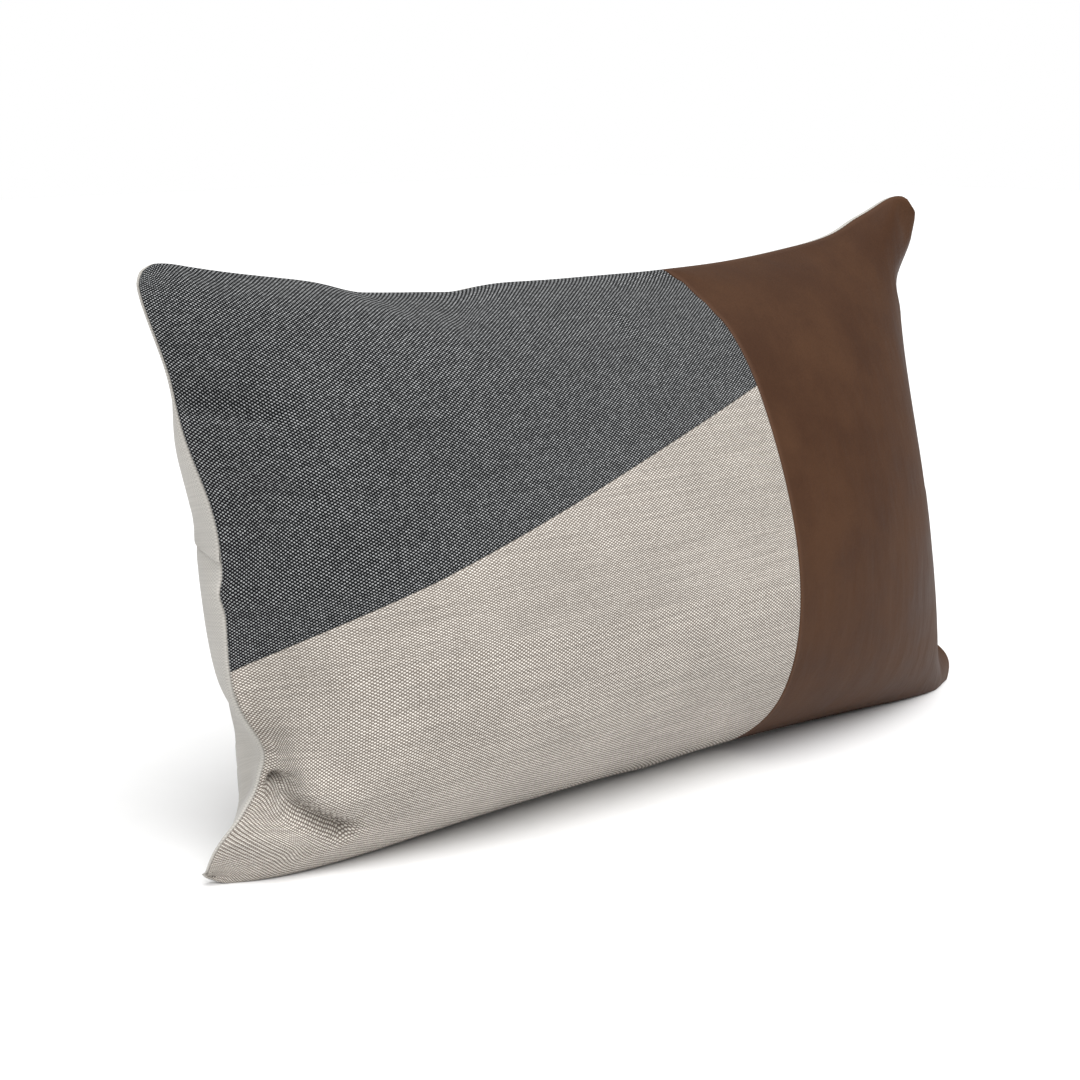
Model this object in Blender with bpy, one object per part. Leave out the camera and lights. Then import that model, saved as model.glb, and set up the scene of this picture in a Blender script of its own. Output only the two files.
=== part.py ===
"""Throw pillow: a lumbar cushion with a three-panel front and a zip in its back.

Frame: +Z up, X along the long side, the front faces -Y. The pillow stands on
its long edge, leans back, and the origin is at the bottom centre of its box.

Every cloth and filling piece is a stretch of one inflated form. A place on that
form is given by s (-1 left rim, +1 right rim), t (-1 bottom rim, +1 top rim) and
a side (-1 front, +1 back), and a Layer says how far inside the skin it lies.
"""

import math
from collections import namedtuple

import bmesh
import bpy
import numpy as np

# Driving dimensions, in metres -------------------------------------------------
FLAT_WIDTH = 0.610          # the empty cover, rim to rim
FLAT_HEIGHT = 0.356
HALF_SPAN = 0.301           # stuffed: half the distance between the side corners
UPPER_RISE = 0.178          # stuffed: corner height above the widest level
LOWER_RISE = 0.1485         # less, because the lower corners are pressed up
SIDE_PULL = 0.021           # how far the short rims draw in between the corners
TOP_DIP = 0.0305            # how far the top rim dips between the corners
BOTTOM_DIP = 0.015
SIDE_PULL_POWER = 2.35
EDGE_DIP_POWER = 2.29
FRONT_BULGE = 0.0855        # greatest height of each half above the rim plane
BACK_BULGE = 0.0825
LOW_BELLY = 0.155           # share by which the bulge is larger low down
BULGE_POWER_S = 3.84        # profile along the long side
BULGE_SHARPNESS_S = 1.27
BULGE_SHARPNESS_T = 0.69    # profile along the short side
SPREAD_S = 0.72             # how much the rims take up of the cloth, radians
SPREAD_T = 0.67
CORNER_RADIUS = 0.013
FRONT_SAG = 0.0095          # how far the belly sags on to the base
BACK_SAG = 0.036
LEAN = math.radians(9.8)    # backwards, towards +Y
SINK = 0.0117               # depth by which the base is pressed flat
BASE_SOFTNESS = 0.003       # height over which the base rounds up
CENTRE_SHIFT = (0.0045, -0.0214)   # puts the origin at the middle of the box

# Ears: how far each corner is pushed (x, y, up)
EARS = {
    (-1, 1): (0.001, 0.003, -0.003),
    (1, 1): (0.001, -0.018, 0.013),
    (-1, -1): (-0.011, 0.016, 0.008),
    (1, -1): (-0.012, 0.006, -0.0125),
}
EAR_POWER = 6

# Seams of the front, as shares of the half width and half height
LEATHER_SEAM_S = 0.197
SLANT_LEFT_T = -0.200
SLANT_RIGHT_T = 0.462

# Cloth and thread
RIM_HALF_GAP = 0.0007       # the front and back stop this far from the rim plane
SEAM_HALF_GAP = 0.0006
THREAD_RADIUS = 0.0002
THREAD_DEPTH = 0.0005

# Zip in the back
ZIP_T = 0.28                # height of its seam
ZIP_BEND_RADIUS = 1.35      # it follows the bulge on an arc
ZIP_ROLL_RADIUS = 0.110     # roundness of the cloth across the zip
ZIP_HALF_LENGTH = 0.172
SLOT_HALF_WIDTH = 0.0044
SLOT_HALF_LENGTH = 0.176
SLOT_END_LENGTH = 0.016     # over which the two folds close beyond the zip
CLOSED_SEAM_HALF_GAP = 0.0003
TAPE_INNER = 0.0010
TAPE_OUTER = 0.0095
TAPE_OVERRUN = 0.011
TEETH_INNER = 0.0006
TEETH_OUTER = 0.0024
TEETH_LOW = -0.0011
TEETH_HIGH = 0.0003
TOOTH_PITCH = 0.0072
STOP_LENGTH = 0.0026
SLIDER_HALF_LENGTH = 0.0050
SLIDER_HALF_WIDTH = 0.0036
SLIDER_REST_X = 0.1655      # distance of the closed slider from the middle
PLATE_HIGH = (0.0007, 0.0015)
PLATE_LOW = (-0.0031, -0.0024)
POST_HALF_WIDTH = 0.0003
POST_HALF_LENGTH = 0.0020
BRIDGE_HALF_LENGTH = 0.0032
BRIDGE_HALF_WIDTH = 0.0006
BRIDGE_TOP = 0.0037
BRIDGE_WALL = 0.0009
PIVOT_HEIGHT = 0.0022
TAB_LENGTH = 0.024
TAB_HALF_WIDTH = 0.0024
TAB_HALF_THICKNESS = 0.00042
TAB_EYE_LENGTH = 0.0042
TAB_ARM_INNER = 0.0011

CROWDING = 0.85             # how strongly rows of points gather at a rim

# inset: how far the rim moves in; offset: distance along the side's own axis;
# thinner: how much less the form bulges; base: lowest height the layer reaches
Layer = namedtuple("Layer", "inset offset thinner base")
COVER_OUTSIDE = Layer(0.0, RIM_HALF_GAP + 0.0007, 0.0, 0.0)
COVER_INSIDE = Layer(0.0008, RIM_HALF_GAP, 0.0003, 0.0010)
TAPE_OUTSIDE = Layer(0.0008, RIM_HALF_GAP - 0.0005, 0.0003, 0.0015)
TAPE_INSIDE = Layer(0.0008, RIM_HALF_GAP - 0.0010, 0.0003, 0.0020)
LABEL_OUTSIDE = Layer(0.0008, RIM_HALF_GAP - 0.0009, 0.0003, 0.0018)
LABEL_INSIDE = Layer(0.0008, RIM_HALF_GAP - 0.0013, 0.0003, 0.0022)
CASING_OUTSIDE = Layer(0.0136, RIM_HALF_GAP + 0.0005, 0.0052, 0.0030)
CASING_INSIDE = Layer(0.0143, RIM_HALF_GAP, 0.0054, 0.0036)
FILL_OUTSIDE = Layer(0.0200, RIM_HALF_GAP, 0.0078, 0.0052)

COLOURS = {                 # colour, roughness, metallic
    "charcoal_canvas": ((0.085, 0.088, 0.095), 0.9, 0.0),
    "cream_canvas": ((0.62, 0.57, 0.51), 0.9, 0.0),
    "brown_leather": ((0.085, 0.042, 0.023), 0.55, 0.0),
    "back_cloth": ((0.47, 0.45, 0.41), 0.9, 0.0),
    "thread": ((0.50, 0.47, 0.42), 0.8, 0.0),
    "zip_tape": ((0.45, 0.43, 0.39), 0.85, 0.0),
    "zip_nylon": ((0.55, 0.53, 0.48), 0.45, 0.0),
    "zip_metal": ((0.56, 0.55, 0.53), 0.35, 1.0),
    "casing_cloth": ((0.80, 0.80, 0.79), 0.9, 0.0),
    "fibre": ((0.88, 0.88, 0.86), 1.0, 0.0),
    "label_cloth": ((0.82, 0.82, 0.80), 0.7, 0.0),
}


# The inflated form ---------------------------------------------------------------
def rest_on_base(height, base):
    """Heights pressed up to the base, with a short round-up beside it."""
    above = height - base
    rounded = (above + BASE_SOFTNESS) ** 2 / (4 * BASE_SOFTNESS)
    pressed = np.where(above < -BASE_SOFTNESS, 0.0, rounded)
    return base + np.where(above > BASE_SOFTNESS, above, pressed)


def stuffed_form(s, t, side, layer):
    """Place in the pillow's own upright frame, before it leans: x, y, up."""
    upper = UPPER_RISE - layer.inset
    lower = LOWER_RISE - layer.inset
    across = HALF_SPAN - layer.inset
    across = across - SIDE_PULL * (1 - np.abs(t) ** SIDE_PULL_POWER)
    dip = np.where(t > 0, TOP_DIP, BOTTOM_DIP)
    rise = np.where(t > 0, upper, lower)
    rise = rise - dip * (1 - np.abs(s) ** EDGE_DIP_POWER)
    x = across * np.sin(SPREAD_S * s) / math.sin(SPREAD_S)
    up = rise * np.sin(SPREAD_T * t) / math.sin(SPREAD_T)

    # round corners: a square corner turned into a quarter circle
    in_s = np.clip(np.abs(s) * FLAT_WIDTH / 2 - FLAT_WIDTH / 2 + CORNER_RADIUS, 0, None)
    in_t = np.clip(np.abs(t) * FLAT_HEIGHT / 2 - FLAT_HEIGHT / 2 + CORNER_RADIUS, 0, None)
    x = x - np.sign(s) * in_s * (1 - np.sqrt(1 - in_t**2 / (2 * CORNER_RADIUS**2)))
    up = up - np.sign(t) * in_t * (1 - np.sqrt(1 - in_s**2 / (2 * CORNER_RADIUS**2)))

    # the belly sags on to the base
    sag, reach = (FRONT_SAG, 0.75) if side < 0 else (BACK_SAG, 0.66)
    low = np.clip((1 + t) / reach, 0, 1)
    up = up - sag * np.sin(math.pi * low) * (1 - s**4)

    bulge = FRONT_BULGE if side < 0 else BACK_BULGE
    along_s = np.clip(1 - np.abs(s) ** BULGE_POWER_S, 0, 1) ** BULGE_SHARPNESS_S
    along_t = np.clip(1 - t**2, 0, 1) ** BULGE_SHARPNESS_T
    half = (bulge - layer.thinner) * along_s * along_t * (1 - LOW_BELLY * t)
    y = side * (half + layer.offset)

    # the ears; an inner layer stops short of the corner, so it is pushed less
    near_s = s * (1 - layer.inset / HALF_SPAN)
    near_t = t * (1 - layer.inset / LOWER_RISE)
    for (ear_s, ear_t), push in EARS.items():
        weight = (np.clip(ear_s * near_s, 0, 1) * np.clip(ear_t * near_t, 0, 1)) ** EAR_POWER
        x = x + push[0] * weight
        y = y + push[1] * weight
        up = up + push[2] * weight
    return np.stack([x, y, up + LOWER_RISE], axis=-1)


def lean_back(points):
    """The upright form leant towards +Y and centred on the origin."""
    x, y, up = points[..., 0], points[..., 1], points[..., 2]
    leant_y = y * math.cos(LEAN) + up * math.sin(LEAN)
    leant_z = up * math.cos(LEAN) - y * math.sin(LEAN) - SINK
    return np.stack([x + CENTRE_SHIFT[0], leant_y + CENTRE_SHIFT[1], leant_z], axis=-1)


# The zip's own frame: its seam's middle, the way out of the cloth, the way up
def zip_frame():
    step = 0.01
    middle = lean_back(stuffed_form(np.array(0.0), np.array(ZIP_T), 1, COVER_OUTSIDE))
    over = lean_back(stuffed_form(np.array(0.0), np.array(ZIP_T + step), 1, COVER_OUTSIDE))
    up = (over - middle) / np.linalg.norm(over - middle)
    out = np.cross(up, (1.0, 0.0, 0.0))
    return middle, out / np.linalg.norm(out), up


ZIP_MIDDLE, ZIP_OUT, ZIP_UP = zip_frame()
ZIP_CENTRE = ZIP_MIDDLE - ZIP_BEND_RADIUS * ZIP_OUT


def zip_point(x, out, up):
    """A place beside the zip: x along it, out of the cloth, up across the tape."""
    angle = np.arcsin(np.asarray(x) / ZIP_BEND_RADIUS)
    radius = ZIP_BEND_RADIUS + np.asarray(out)
    along = np.multiply.outer(radius * np.sin(angle), (1.0, 0.0, 0.0))
    outward = np.multiply.outer(radius * np.cos(angle), ZIP_OUT)
    return ZIP_CENTRE + along + outward + np.multiply.outer(np.asarray(up), ZIP_UP)


def fade(value, full, gone):
    """1 up to full, 0 from gone, smooth between."""
    share = np.clip((gone - np.abs(value)) / (gone - full), 0, 1)
    return share * share * (3 - 2 * share)


def zip_bend(s, t):
    """Shift that lays the back cloth on the zip's arc."""
    skin = lean_back(stuffed_form(s, t, 1, COVER_OUTSIDE))
    from_middle = skin - ZIP_MIDDLE
    x = np.clip(from_middle[..., 0], -0.3, 0.3)
    arc_height = np.sqrt(ZIP_BEND_RADIUS**2 - x**2) - ZIP_BEND_RADIUS
    up = from_middle @ ZIP_UP
    wanted = arc_height - np.clip(up, -0.1, 0.1) ** 2 / (2 * ZIP_ROLL_RADIUS)
    weight = fade(x, 0.195, 0.26) * fade(up, 0.012, 0.055)
    return (weight * (wanted - from_middle @ ZIP_OUT))[..., None] * ZIP_OUT


def place(s, t, side, layer):
    """World place of points of the form."""
    s, t = np.broadcast_arrays(np.asarray(s, float), np.asarray(t, float))
    points = lean_back(stuffed_form(s, t, side, layer))
    if side > 0:
        points = points + zip_bend(s, t)
    points[..., 2] = rest_on_base(points[..., 2], layer.base)
    return points


def height_at(s, up):
    """t at which the back skin lies the distance up above the zip's seam."""
    s = np.asarray(s, float)
    up = np.broadcast_to(np.asarray(up, float), s.shape)
    low = np.full_like(s, ZIP_T - 0.3)
    high = np.full_like(s, ZIP_T + 0.3)
    for _ in range(40):
        middle = (low + high) / 2
        over = (place(s, middle, 1, COVER_OUTSIDE) - ZIP_MIDDLE) @ ZIP_UP
        low = np.where(over < up, middle, low)
        high = np.where(over < up, high, middle)
    return (low + high) / 2


def distance_along_zip(s):
    """x of the zip's seam, counted from the zip's middle."""
    return place(s, np.full_like(s, ZIP_T), 1, COVER_OUTSIDE)[..., 0] - ZIP_MIDDLE[0]


def share_at(distance):
    """s at which the zip's seam is the distance from its middle."""
    low, high = 0.0, 1.0
    for _ in range(40):
        middle = (low + high) / 2
        if distance_along_zip(np.array(middle)) < distance:
            low = middle
        else:
            high = middle
    return (low + high) / 2


def slot_half_width(s):
    """Half the opening between the two folded edges, almond-ended."""
    opening = fade(distance_along_zip(s), SLOT_HALF_LENGTH, SLOT_HALF_LENGTH + SLOT_END_LENGTH)
    return CLOSED_SEAM_HALF_GAP + (SLOT_HALF_WIDTH - CLOSED_SEAM_HALF_GAP) * opening


def slant_height(s):
    """t of the slanting seam."""
    share = (s + 1) / (LEATHER_SEAM_S + 1)
    return SLANT_LEFT_T + share * (SLANT_RIGHT_T - SLANT_LEFT_T)


# Building ------------------------------------------------------------------------
def material(name):
    found = bpy.data.materials.get(name)
    if found:
        return found
    made = bpy.data.materials.new(name)
    made.use_nodes = True
    colour, roughness, metallic = COLOURS[name]
    shader = made.node_tree.nodes["Principled BSDF"]
    shader.inputs["Base Color"].default_value = (*colour, 1.0)
    shader.inputs["Roughness"].default_value = roughness
    shader.inputs["Metallic"].default_value = metallic
    made.diffuse_color = (*colour, 1.0)
    return made


def add_object(name, mesh_data, material_name, smooth=True):
    """Turn a bmesh into a named object with faces pointing out."""
    bmesh.ops.recalc_face_normals(mesh_data, faces=mesh_data.faces[:])
    if mesh_data.calc_volume(signed=True) < 0:
        bmesh.ops.reverse_faces(mesh_data, faces=mesh_data.faces[:])
    mesh = bpy.data.meshes.new(name)
    mesh_data.to_mesh(mesh)
    mesh_data.free()
    if smooth:
        mesh.shade_smooth()
        mesh.set_sharp_from_angle(angle=math.radians(40))
    made = bpy.data.objects.new(name, mesh)
    made.data.materials.append(material(material_name))
    bpy.context.scene.collection.objects.link(made)
    return made


def between_sheets(name, upper, lower, material_name):
    """One closed solid between two grids of points of the same size."""
    rows, columns = upper.shape[:2]
    built = bmesh.new()
    sheets = []
    for grid in (upper, lower):
        sheets.append([[built.verts.new(point) for point in row] for row in grid])
    for sheet in sheets:
        for i in range(rows - 1):
            for j in range(columns - 1):
                corners = (sheet[i][j], sheet[i + 1][j], sheet[i + 1][j + 1], sheet[i][j + 1])
                built.faces.new(corners)
    rim = [(i, 0) for i in range(rows)]
    rim += [(rows - 1, j) for j in range(1, columns)]
    rim += [(i, columns - 1) for i in range(rows - 2, -1, -1)]
    rim += [(0, j) for j in range(columns - 2, 0, -1)]
    for here, there in zip(rim, rim[1:] + rim[:1]):
        a, b = sheets[0][here[0]][here[1]], sheets[0][there[0]][there[1]]
        c, d = sheets[1][there[0]][there[1]], sheets[1][here[0]][here[1]]
        built.faces.new((a, b, c, d))
    return add_object(name, built, material_name)


def spread(low, high, count, crowd_low=False, crowd_high=False):
    """Values from low to high, crowded at the ends that are rims."""
    share = np.linspace(0, 1, count)
    if crowd_low and crowd_high:
        crowded = (1 - np.cos(math.pi * share)) / 2
    elif crowd_low:
        crowded = 1 - np.cos(math.pi / 2 * share)
    elif crowd_high:
        crowded = np.sin(math.pi / 2 * share)
    else:
        crowded = share
    share = CROWDING * crowded + (1 - CROWDING) * share
    return low + (high - low) * share


def panel(name, side, s_values, t_low, t_high, count, material_name, layers, crowd):
    """A cloth piece between two curves t_low(s) and t_high(s)."""
    lows, highs = t_low(s_values), t_high(s_values)
    share = spread(0.0, 1.0, count, *crowd)
    s = np.repeat(s_values[:, None], count, axis=1)
    t = lows[:, None] + (highs - lows)[:, None] * share[None, :]
    outside, inside = (place(s, t, side, layer) for layer in layers)
    return between_sheets(name, outside, inside, material_name)


def constant(value):
    return lambda s: np.full_like(s, value)


def thread(name, path, material_name):
    """A run of sewing thread along a list of points: a tube with four sides."""
    built = bmesh.new()
    rings = []
    for i, point in enumerate(path):
        ahead = path[min(i + 1, len(path) - 1)]
        behind = path[max(i - 1, 0)]
        along = (ahead - behind) / np.linalg.norm(ahead - behind)
        across = np.cross(along, (0.0, 1.0, 0.0))
        across = across / np.linalg.norm(across)
        other = np.cross(along, across)
        turns = (across, other, -across, -other)
        rings.append([built.verts.new(point + THREAD_RADIUS * turn) for turn in turns])
    for ring, following in zip(rings, rings[1:]):
        for k in range(4):
            built.faces.new((ring[k], ring[(k + 1) % 4], following[(k + 1) % 4], following[k]))
    built.faces.new(rings[0])
    built.faces.new(rings[-1][::-1])
    return add_object(name, built, material_name)


def rim_path(inset, base, count_s, count_t, start=0.0, end=1.0):
    """Points round the rim plane, anticlockwise from the lower left corner."""
    s_run = spread(-1, 1, count_s, True, True)
    t_run = spread(-1, 1, count_t, True, True)
    corners = [(s, -1.0) for s in s_run[:-1]] + [(1.0, t) for t in t_run[:-1]]
    corners += [(s, 1.0) for s in s_run[:0:-1]] + [(-1.0, t) for t in t_run[:0:-1]]
    first, last = int(len(corners) * start), int(math.ceil(len(corners) * end))
    layer = Layer(inset, 0.0, 0.0, base)
    s, t = np.array(corners[first:last]).T
    return place(s, t, -1, layer)


def front_panels():
    layers = (COVER_OUTSIDE, COVER_INSIDE)
    gap_s = SEAM_HALF_GAP / (FLAT_WIDTH / 2)
    gap_t = SEAM_HALF_GAP / (FLAT_HEIGHT / 2) * 1.25
    canvas_s = spread(-1.0, LEATHER_SEAM_S - gap_s, 21, crowd_low=True)
    leather_s = spread(LEATHER_SEAM_S + gap_s, 1.0, 15, crowd_high=True)
    bottom, top = constant(-1.0), constant(1.0)
    panel("front_charcoal_panel", -1, canvas_s, lambda s: slant_height(s) + gap_t, top,
          12, "charcoal_canvas", layers, (False, True))
    panel("front_cream_panel", -1, canvas_s, bottom, lambda s: slant_height(s) - gap_t,
          14, "cream_canvas", layers, (True, False))
    panel("front_leather_panel", -1, leather_s, bottom, top,
          22, "brown_leather", layers, (True, True))


def back_panels():
    layers = (COVER_OUTSIDE, COVER_INSIDE)
    slot_end = share_at(SLOT_HALF_LENGTH)
    turn = share_at(SLOT_HALF_LENGTH + SLOT_END_LENGTH)
    right = spread(turn, 1.0, 8, crowd_high=True)
    ends = np.linspace(slot_end, turn, 5)[:-1]
    middle = np.linspace(-slot_end, slot_end, 16)[1:-1]
    s_values = np.concatenate([-right[::-1], -ends[::-1], middle, ends, right])
    bottom, top = constant(-1.0), constant(1.0)

    def upper_edge(s):
        return height_at(s, slot_half_width(s))

    def lower_edge(s):
        return height_at(s, -slot_half_width(s))

    panel("back_upper_panel", 1, s_values, upper_edge, top, 10, "back_cloth", layers, (False, True))
    panel("back_lower_panel", 1, s_values, bottom, lower_edge, 16, "back_cloth", layers, (True, False))


def seam_threads():
    in_cloth = Layer(0.0, COVER_OUTSIDE.offset - THREAD_DEPTH, 0.0, 0.0006)
    on_cloth = Layer(0.0, COVER_OUTSIDE.offset + 4 * THREAD_RADIUS, 0.0, 0.0)
    s = spread(-0.99, LEATHER_SEAM_S - 0.012, 26, crowd_low=True)
    thread("charcoal_cream_seam_thread", place(s, slant_height(s), -1, in_cloth), "thread")
    t = spread(-0.985, 0.985, 34, True, True)
    path = place(np.full_like(t, LEATHER_SEAM_S), t, -1, in_cloth)
    thread("leather_seam_thread", path, "thread")
    # the rim seam starts and ends beside the lower left corner
    thread("rim_seam_thread", rim_path(0.0004, 0.0004, 40, 26, 0.03, 0.97), "thread")

    edge_stitch = 0.0035
    s = spread(-0.985, 0.985, 46, True, True)
    path = place(s, height_at(s, slot_half_width(s) + edge_stitch), 1, on_cloth)
    thread("zip_lap_topstitch", path, "thread")
    ends = share_at(ZIP_HALF_LENGTH + TAPE_OVERRUN - 0.004)
    s = np.linspace(-ends, ends, 34)
    path = place(s, height_at(s, -slot_half_width(s) - edge_stitch), 1, on_cloth)
    thread("zip_lower_topstitch", path, "thread")


def zip_tapes():
    reach = share_at(ZIP_HALF_LENGTH + TAPE_OVERRUN)
    s_values = np.linspace(-reach, reach, 25)
    layers = (TAPE_OUTSIDE, TAPE_INSIDE)
    for name, sign in (("zip_upper_tape", 1), ("zip_lower_tape", -1)):
        near, far = sign * TAPE_INNER, sign * TAPE_OUTER
        low, high = min(near, far), max(near, far)
        panel(name, 1, s_values, lambda s: height_at(s, low), lambda s: height_at(s, high),
              5, "zip_tape", layers, (False, False))


def zip_teeth():
    """Each row of teeth is one rail with notches in the edge that meets the other."""
    count = round(2 * ZIP_HALF_LENGTH / TOOTH_PITCH)
    pitch = 2 * ZIP_HALF_LENGTH / count
    notch = 0.0008
    for name, sign, shift in (("zip_upper_teeth", 1, 0.0), ("zip_lower_teeth", -1, 0.5)):
        outline = [(-ZIP_HALF_LENGTH, TEETH_OUTER), (-ZIP_HALF_LENGTH, TEETH_INNER + notch)]
        for i in range(count):
            start = -ZIP_HALF_LENGTH + (i + 0.15 + shift * 0.5) * pitch
            outline.append((start, TEETH_INNER + notch))
            outline.append((start + 0.05 * pitch, TEETH_INNER))
            outline.append((start + 0.45 * pitch, TEETH_INNER))
            outline.append((start + 0.50 * pitch, TEETH_INNER + notch))
        outline += [(ZIP_HALF_LENGTH, TEETH_INNER + notch), (ZIP_HALF_LENGTH, TEETH_OUTER)]
        built = bmesh.new()
        levels = []
        for out in (TEETH_LOW, TEETH_HIGH):
            levels.append([built.verts.new(zip_point(x, out, sign * up)) for x, up in outline])
        size = len(outline)
        for i in range(size):
            j = (i + 1) % size
            if i == size - 1:
                continue
            built.faces.new((levels[0][i], levels[0][j], levels[1][j], levels[1][i]))
        back = [[], []]
        for k, out in enumerate((TEETH_LOW, TEETH_HIGH)):
            for i in range(1, size - 1):
                at = zip_point(outline[i][0], out, sign * TEETH_OUTER)
                back[k].append(built.verts.new(at) if 1 < i < size - 2 else None)
            back[k][0], back[k][-1] = levels[k][0], levels[k][-1]
        for k in range(2):
            for i in range(1, size - 2):
                near = (levels[k][i], levels[k][i + 1])
                far = (back[k][i], back[k][i - 1])
                built.faces.new(near + far)
        for i in range(size - 3):
            built.faces.new((back[0][i], back[1][i], back[1][i + 1], back[0][i + 1]))
        add_object(name, built, "zip_nylon", smooth=False)


def zip_block(built, x_range, out_range, up_range):
    """Add a block of the zip's frame to a bmesh."""
    points = [(x, out, up) for x in x_range for out in out_range for up in up_range]
    v = [built.verts.new(zip_point(*point)) for point in points]
    for corners in ((0, 1, 3, 2), (4, 6, 7, 5), (0, 4, 5, 1), (2, 3, 7, 6), (0, 2, 6, 4), (1, 5, 7, 3)):
        built.faces.new([v[k] for k in corners])
    return v


def bevelled(made, width):
    bevel = made.modifiers.new("soft_edges", "BEVEL")
    bevel.width = width
    bevel.segments = 2
    bevel.limit_method = "ANGLE"
    return made


def zip_stops():
    reach = (TEETH_INNER, TEETH_OUTER)
    first = -ZIP_HALF_LENGTH - 0.0006
    last = ZIP_HALF_LENGTH + 0.0006
    heights = (TEETH_LOW, TEETH_HIGH)
    stops = (
        ("zip_bottom_stop", (first - STOP_LENGTH, first), (-TEETH_OUTER, TEETH_OUTER)),
        ("zip_top_stop_upper", (last, last + STOP_LENGTH), reach),
        ("zip_top_stop_lower", (last, last + STOP_LENGTH), (-TEETH_OUTER, -TEETH_INNER)),
    )
    for name, x_range, up_range in stops:
        built = bmesh.new()
        zip_block(built, x_range, heights, up_range)
        bevelled(add_object(name, built, "zip_metal", smooth=False), 0.0002)


def joined_blocks(name, blocks, material_name):
    """One body from overlapping blocks, joined by exact Boolean unions."""
    made = None
    for index, ranges in enumerate(blocks):
        built = bmesh.new()
        zip_block(built, *ranges)
        label = name if index == 0 else f"{name}_block_{index}"
        piece = add_object(label, built, material_name, smooth=False)
        if index == 0:
            made = piece
            continue
        piece.hide_render = True
        piece.display_type = "WIRE"
        union = made.modifiers.new(f"join_{index}", "BOOLEAN")
        union.operation = "UNION"
        union.object = piece
        union.solver = "EXACT"
    return made


def zip_slider():
    middle = SLIDER_REST_X
    long = (middle - SLIDER_HALF_LENGTH, middle + SLIDER_HALF_LENGTH)
    wide = (-SLIDER_HALF_WIDTH, SLIDER_HALF_WIDTH)
    post_x = (middle - POST_HALF_LENGTH, middle + POST_HALF_LENGTH)
    post = (post_x, (PLATE_LOW[1] - 0.0004, PLATE_HIGH[0] + 0.0004), (-POST_HALF_WIDTH, POST_HALF_WIDTH))
    blocks = [(long, PLATE_HIGH, wide), post, (long, PLATE_LOW, wide)]
    flange = 0.0006
    for sign in (-1, 1):
        edges = sorted((sign * SLIDER_HALF_WIDTH, sign * (SLIDER_HALF_WIDTH - flange)))
        blocks.append((long, (-0.0008, PLATE_HIGH[1] - 0.0003), edges))
    bridge_up = (-BRIDGE_HALF_WIDTH, BRIDGE_HALF_WIDTH)
    span = (middle - BRIDGE_HALF_LENGTH, middle + BRIDGE_HALF_LENGTH)
    foot = PLATE_HIGH[1] - 0.0003
    blocks.append((span, (BRIDGE_TOP - BRIDGE_WALL, BRIDGE_TOP), bridge_up))
    blocks.append(((span[0], span[0] + BRIDGE_WALL), (foot, BRIDGE_TOP - 0.0002), bridge_up))
    blocks.append(((span[1] - BRIDGE_WALL, span[1]), (foot, BRIDGE_TOP - 0.0002), bridge_up))
    return joined_blocks("zip_slider", blocks, "zip_metal")


def zip_pull_tab():
    """The tab lies flat over the closed teeth; its crossbar turns under the bridge."""
    middle = SLIDER_REST_X
    heights = (PIVOT_HEIGHT - TAB_HALF_THICKNESS, PIVOT_HEIGHT + TAB_HALF_THICKNESS)
    eye_end = middle - TAB_EYE_LENGTH
    bar = TAB_HALF_THICKNESS
    blocks = [((middle - TAB_LENGTH, eye_end), heights, (-TAB_HALF_WIDTH, TAB_HALF_WIDTH))]
    for sign in (-1, 1):
        arm = sorted((sign * TAB_ARM_INNER, sign * TAB_HALF_WIDTH))
        blocks.append(((eye_end - 0.001, middle + bar), heights, arm))
    blocks.append(((middle - bar, middle + bar), heights, (-TAB_ARM_INNER - 0.0004, TAB_ARM_INNER + 0.0004)))
    return joined_blocks("zip_pull_tab", blocks, "zip_metal")


def pivots(slider, tab):
    """Empties on the two joint axes, with the moving pieces parented to them."""
    travel = bpy.data.objects.new("zip_travel_pivot", None)
    travel.location = ZIP_CENTRE
    swing = bpy.data.objects.new("pull_tab_pivot", None)
    swing.location = zip_point(SLIDER_REST_X, PIVOT_HEIGHT, 0.0) - ZIP_CENTRE
    swing.parent = travel
    for empty in (travel, swing):
        empty.empty_display_size = 0.01
        bpy.context.scene.collection.objects.link(empty)
    bpy.context.view_layer.update()
    for piece, pivot in ((slider, travel), (tab, swing)):
        group = [piece] + [m.object for m in piece.modifiers if m.type == "BOOLEAN"]
        for member in group:
            member.parent = pivot
            member.matrix_parent_inverse = pivot.matrix_world.inverted()


def inner_cushion():
    s = spread(-1.0, 1.0, 21, True, True)
    bottom, top = constant(-1.0), constant(1.0)
    casing = (CASING_OUTSIDE, CASING_INSIDE)
    both = (True, True)
    panel("insert_front_casing", -1, s, bottom, top, 13, "casing_cloth", casing, both)
    panel("insert_back_casing", 1, s, bottom, top, 13, "casing_cloth", casing, both)
    inset = CASING_OUTSIDE.inset + 0.0010
    path = rim_path(inset, 0.0042, 32, 20, start=0.20)
    thread("insert_rim_seam_thread", path, "thread")
    path = rim_path(inset, 0.0042, 32, 20, start=0.02, end=0.18)
    thread("insert_closing_stitch", path, "thread")
    t = spread(-1.0, 1.0, 13, True, True)
    grid_s, grid_t = np.meshgrid(s, t, indexing="ij")
    front = place(grid_s, grid_t, -1, FILL_OUTSIDE)
    back = place(grid_s, grid_t, 1, FILL_OUTSIDE)
    between_sheets("fibre_fill", front, back, "fibre")


def care_label():
    s = np.linspace(-0.83, -0.73, 4)
    panel("care_label", 1, s, constant(-0.52), constant(-0.30), 5, "label_cloth",
          (LABEL_OUTSIDE, LABEL_INSIDE), (False, False))


def main():
    for old in list(bpy.data.objects):
        bpy.data.objects.remove(old, do_unlink=True)
    front_panels()
    back_panels()
    seam_threads()
    zip_tapes()
    zip_teeth()
    zip_stops()
    pivots(zip_slider(), zip_pull_tab())
    inner_cushion()
    care_label()


main()
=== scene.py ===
import math
from collections import namedtuple

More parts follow.
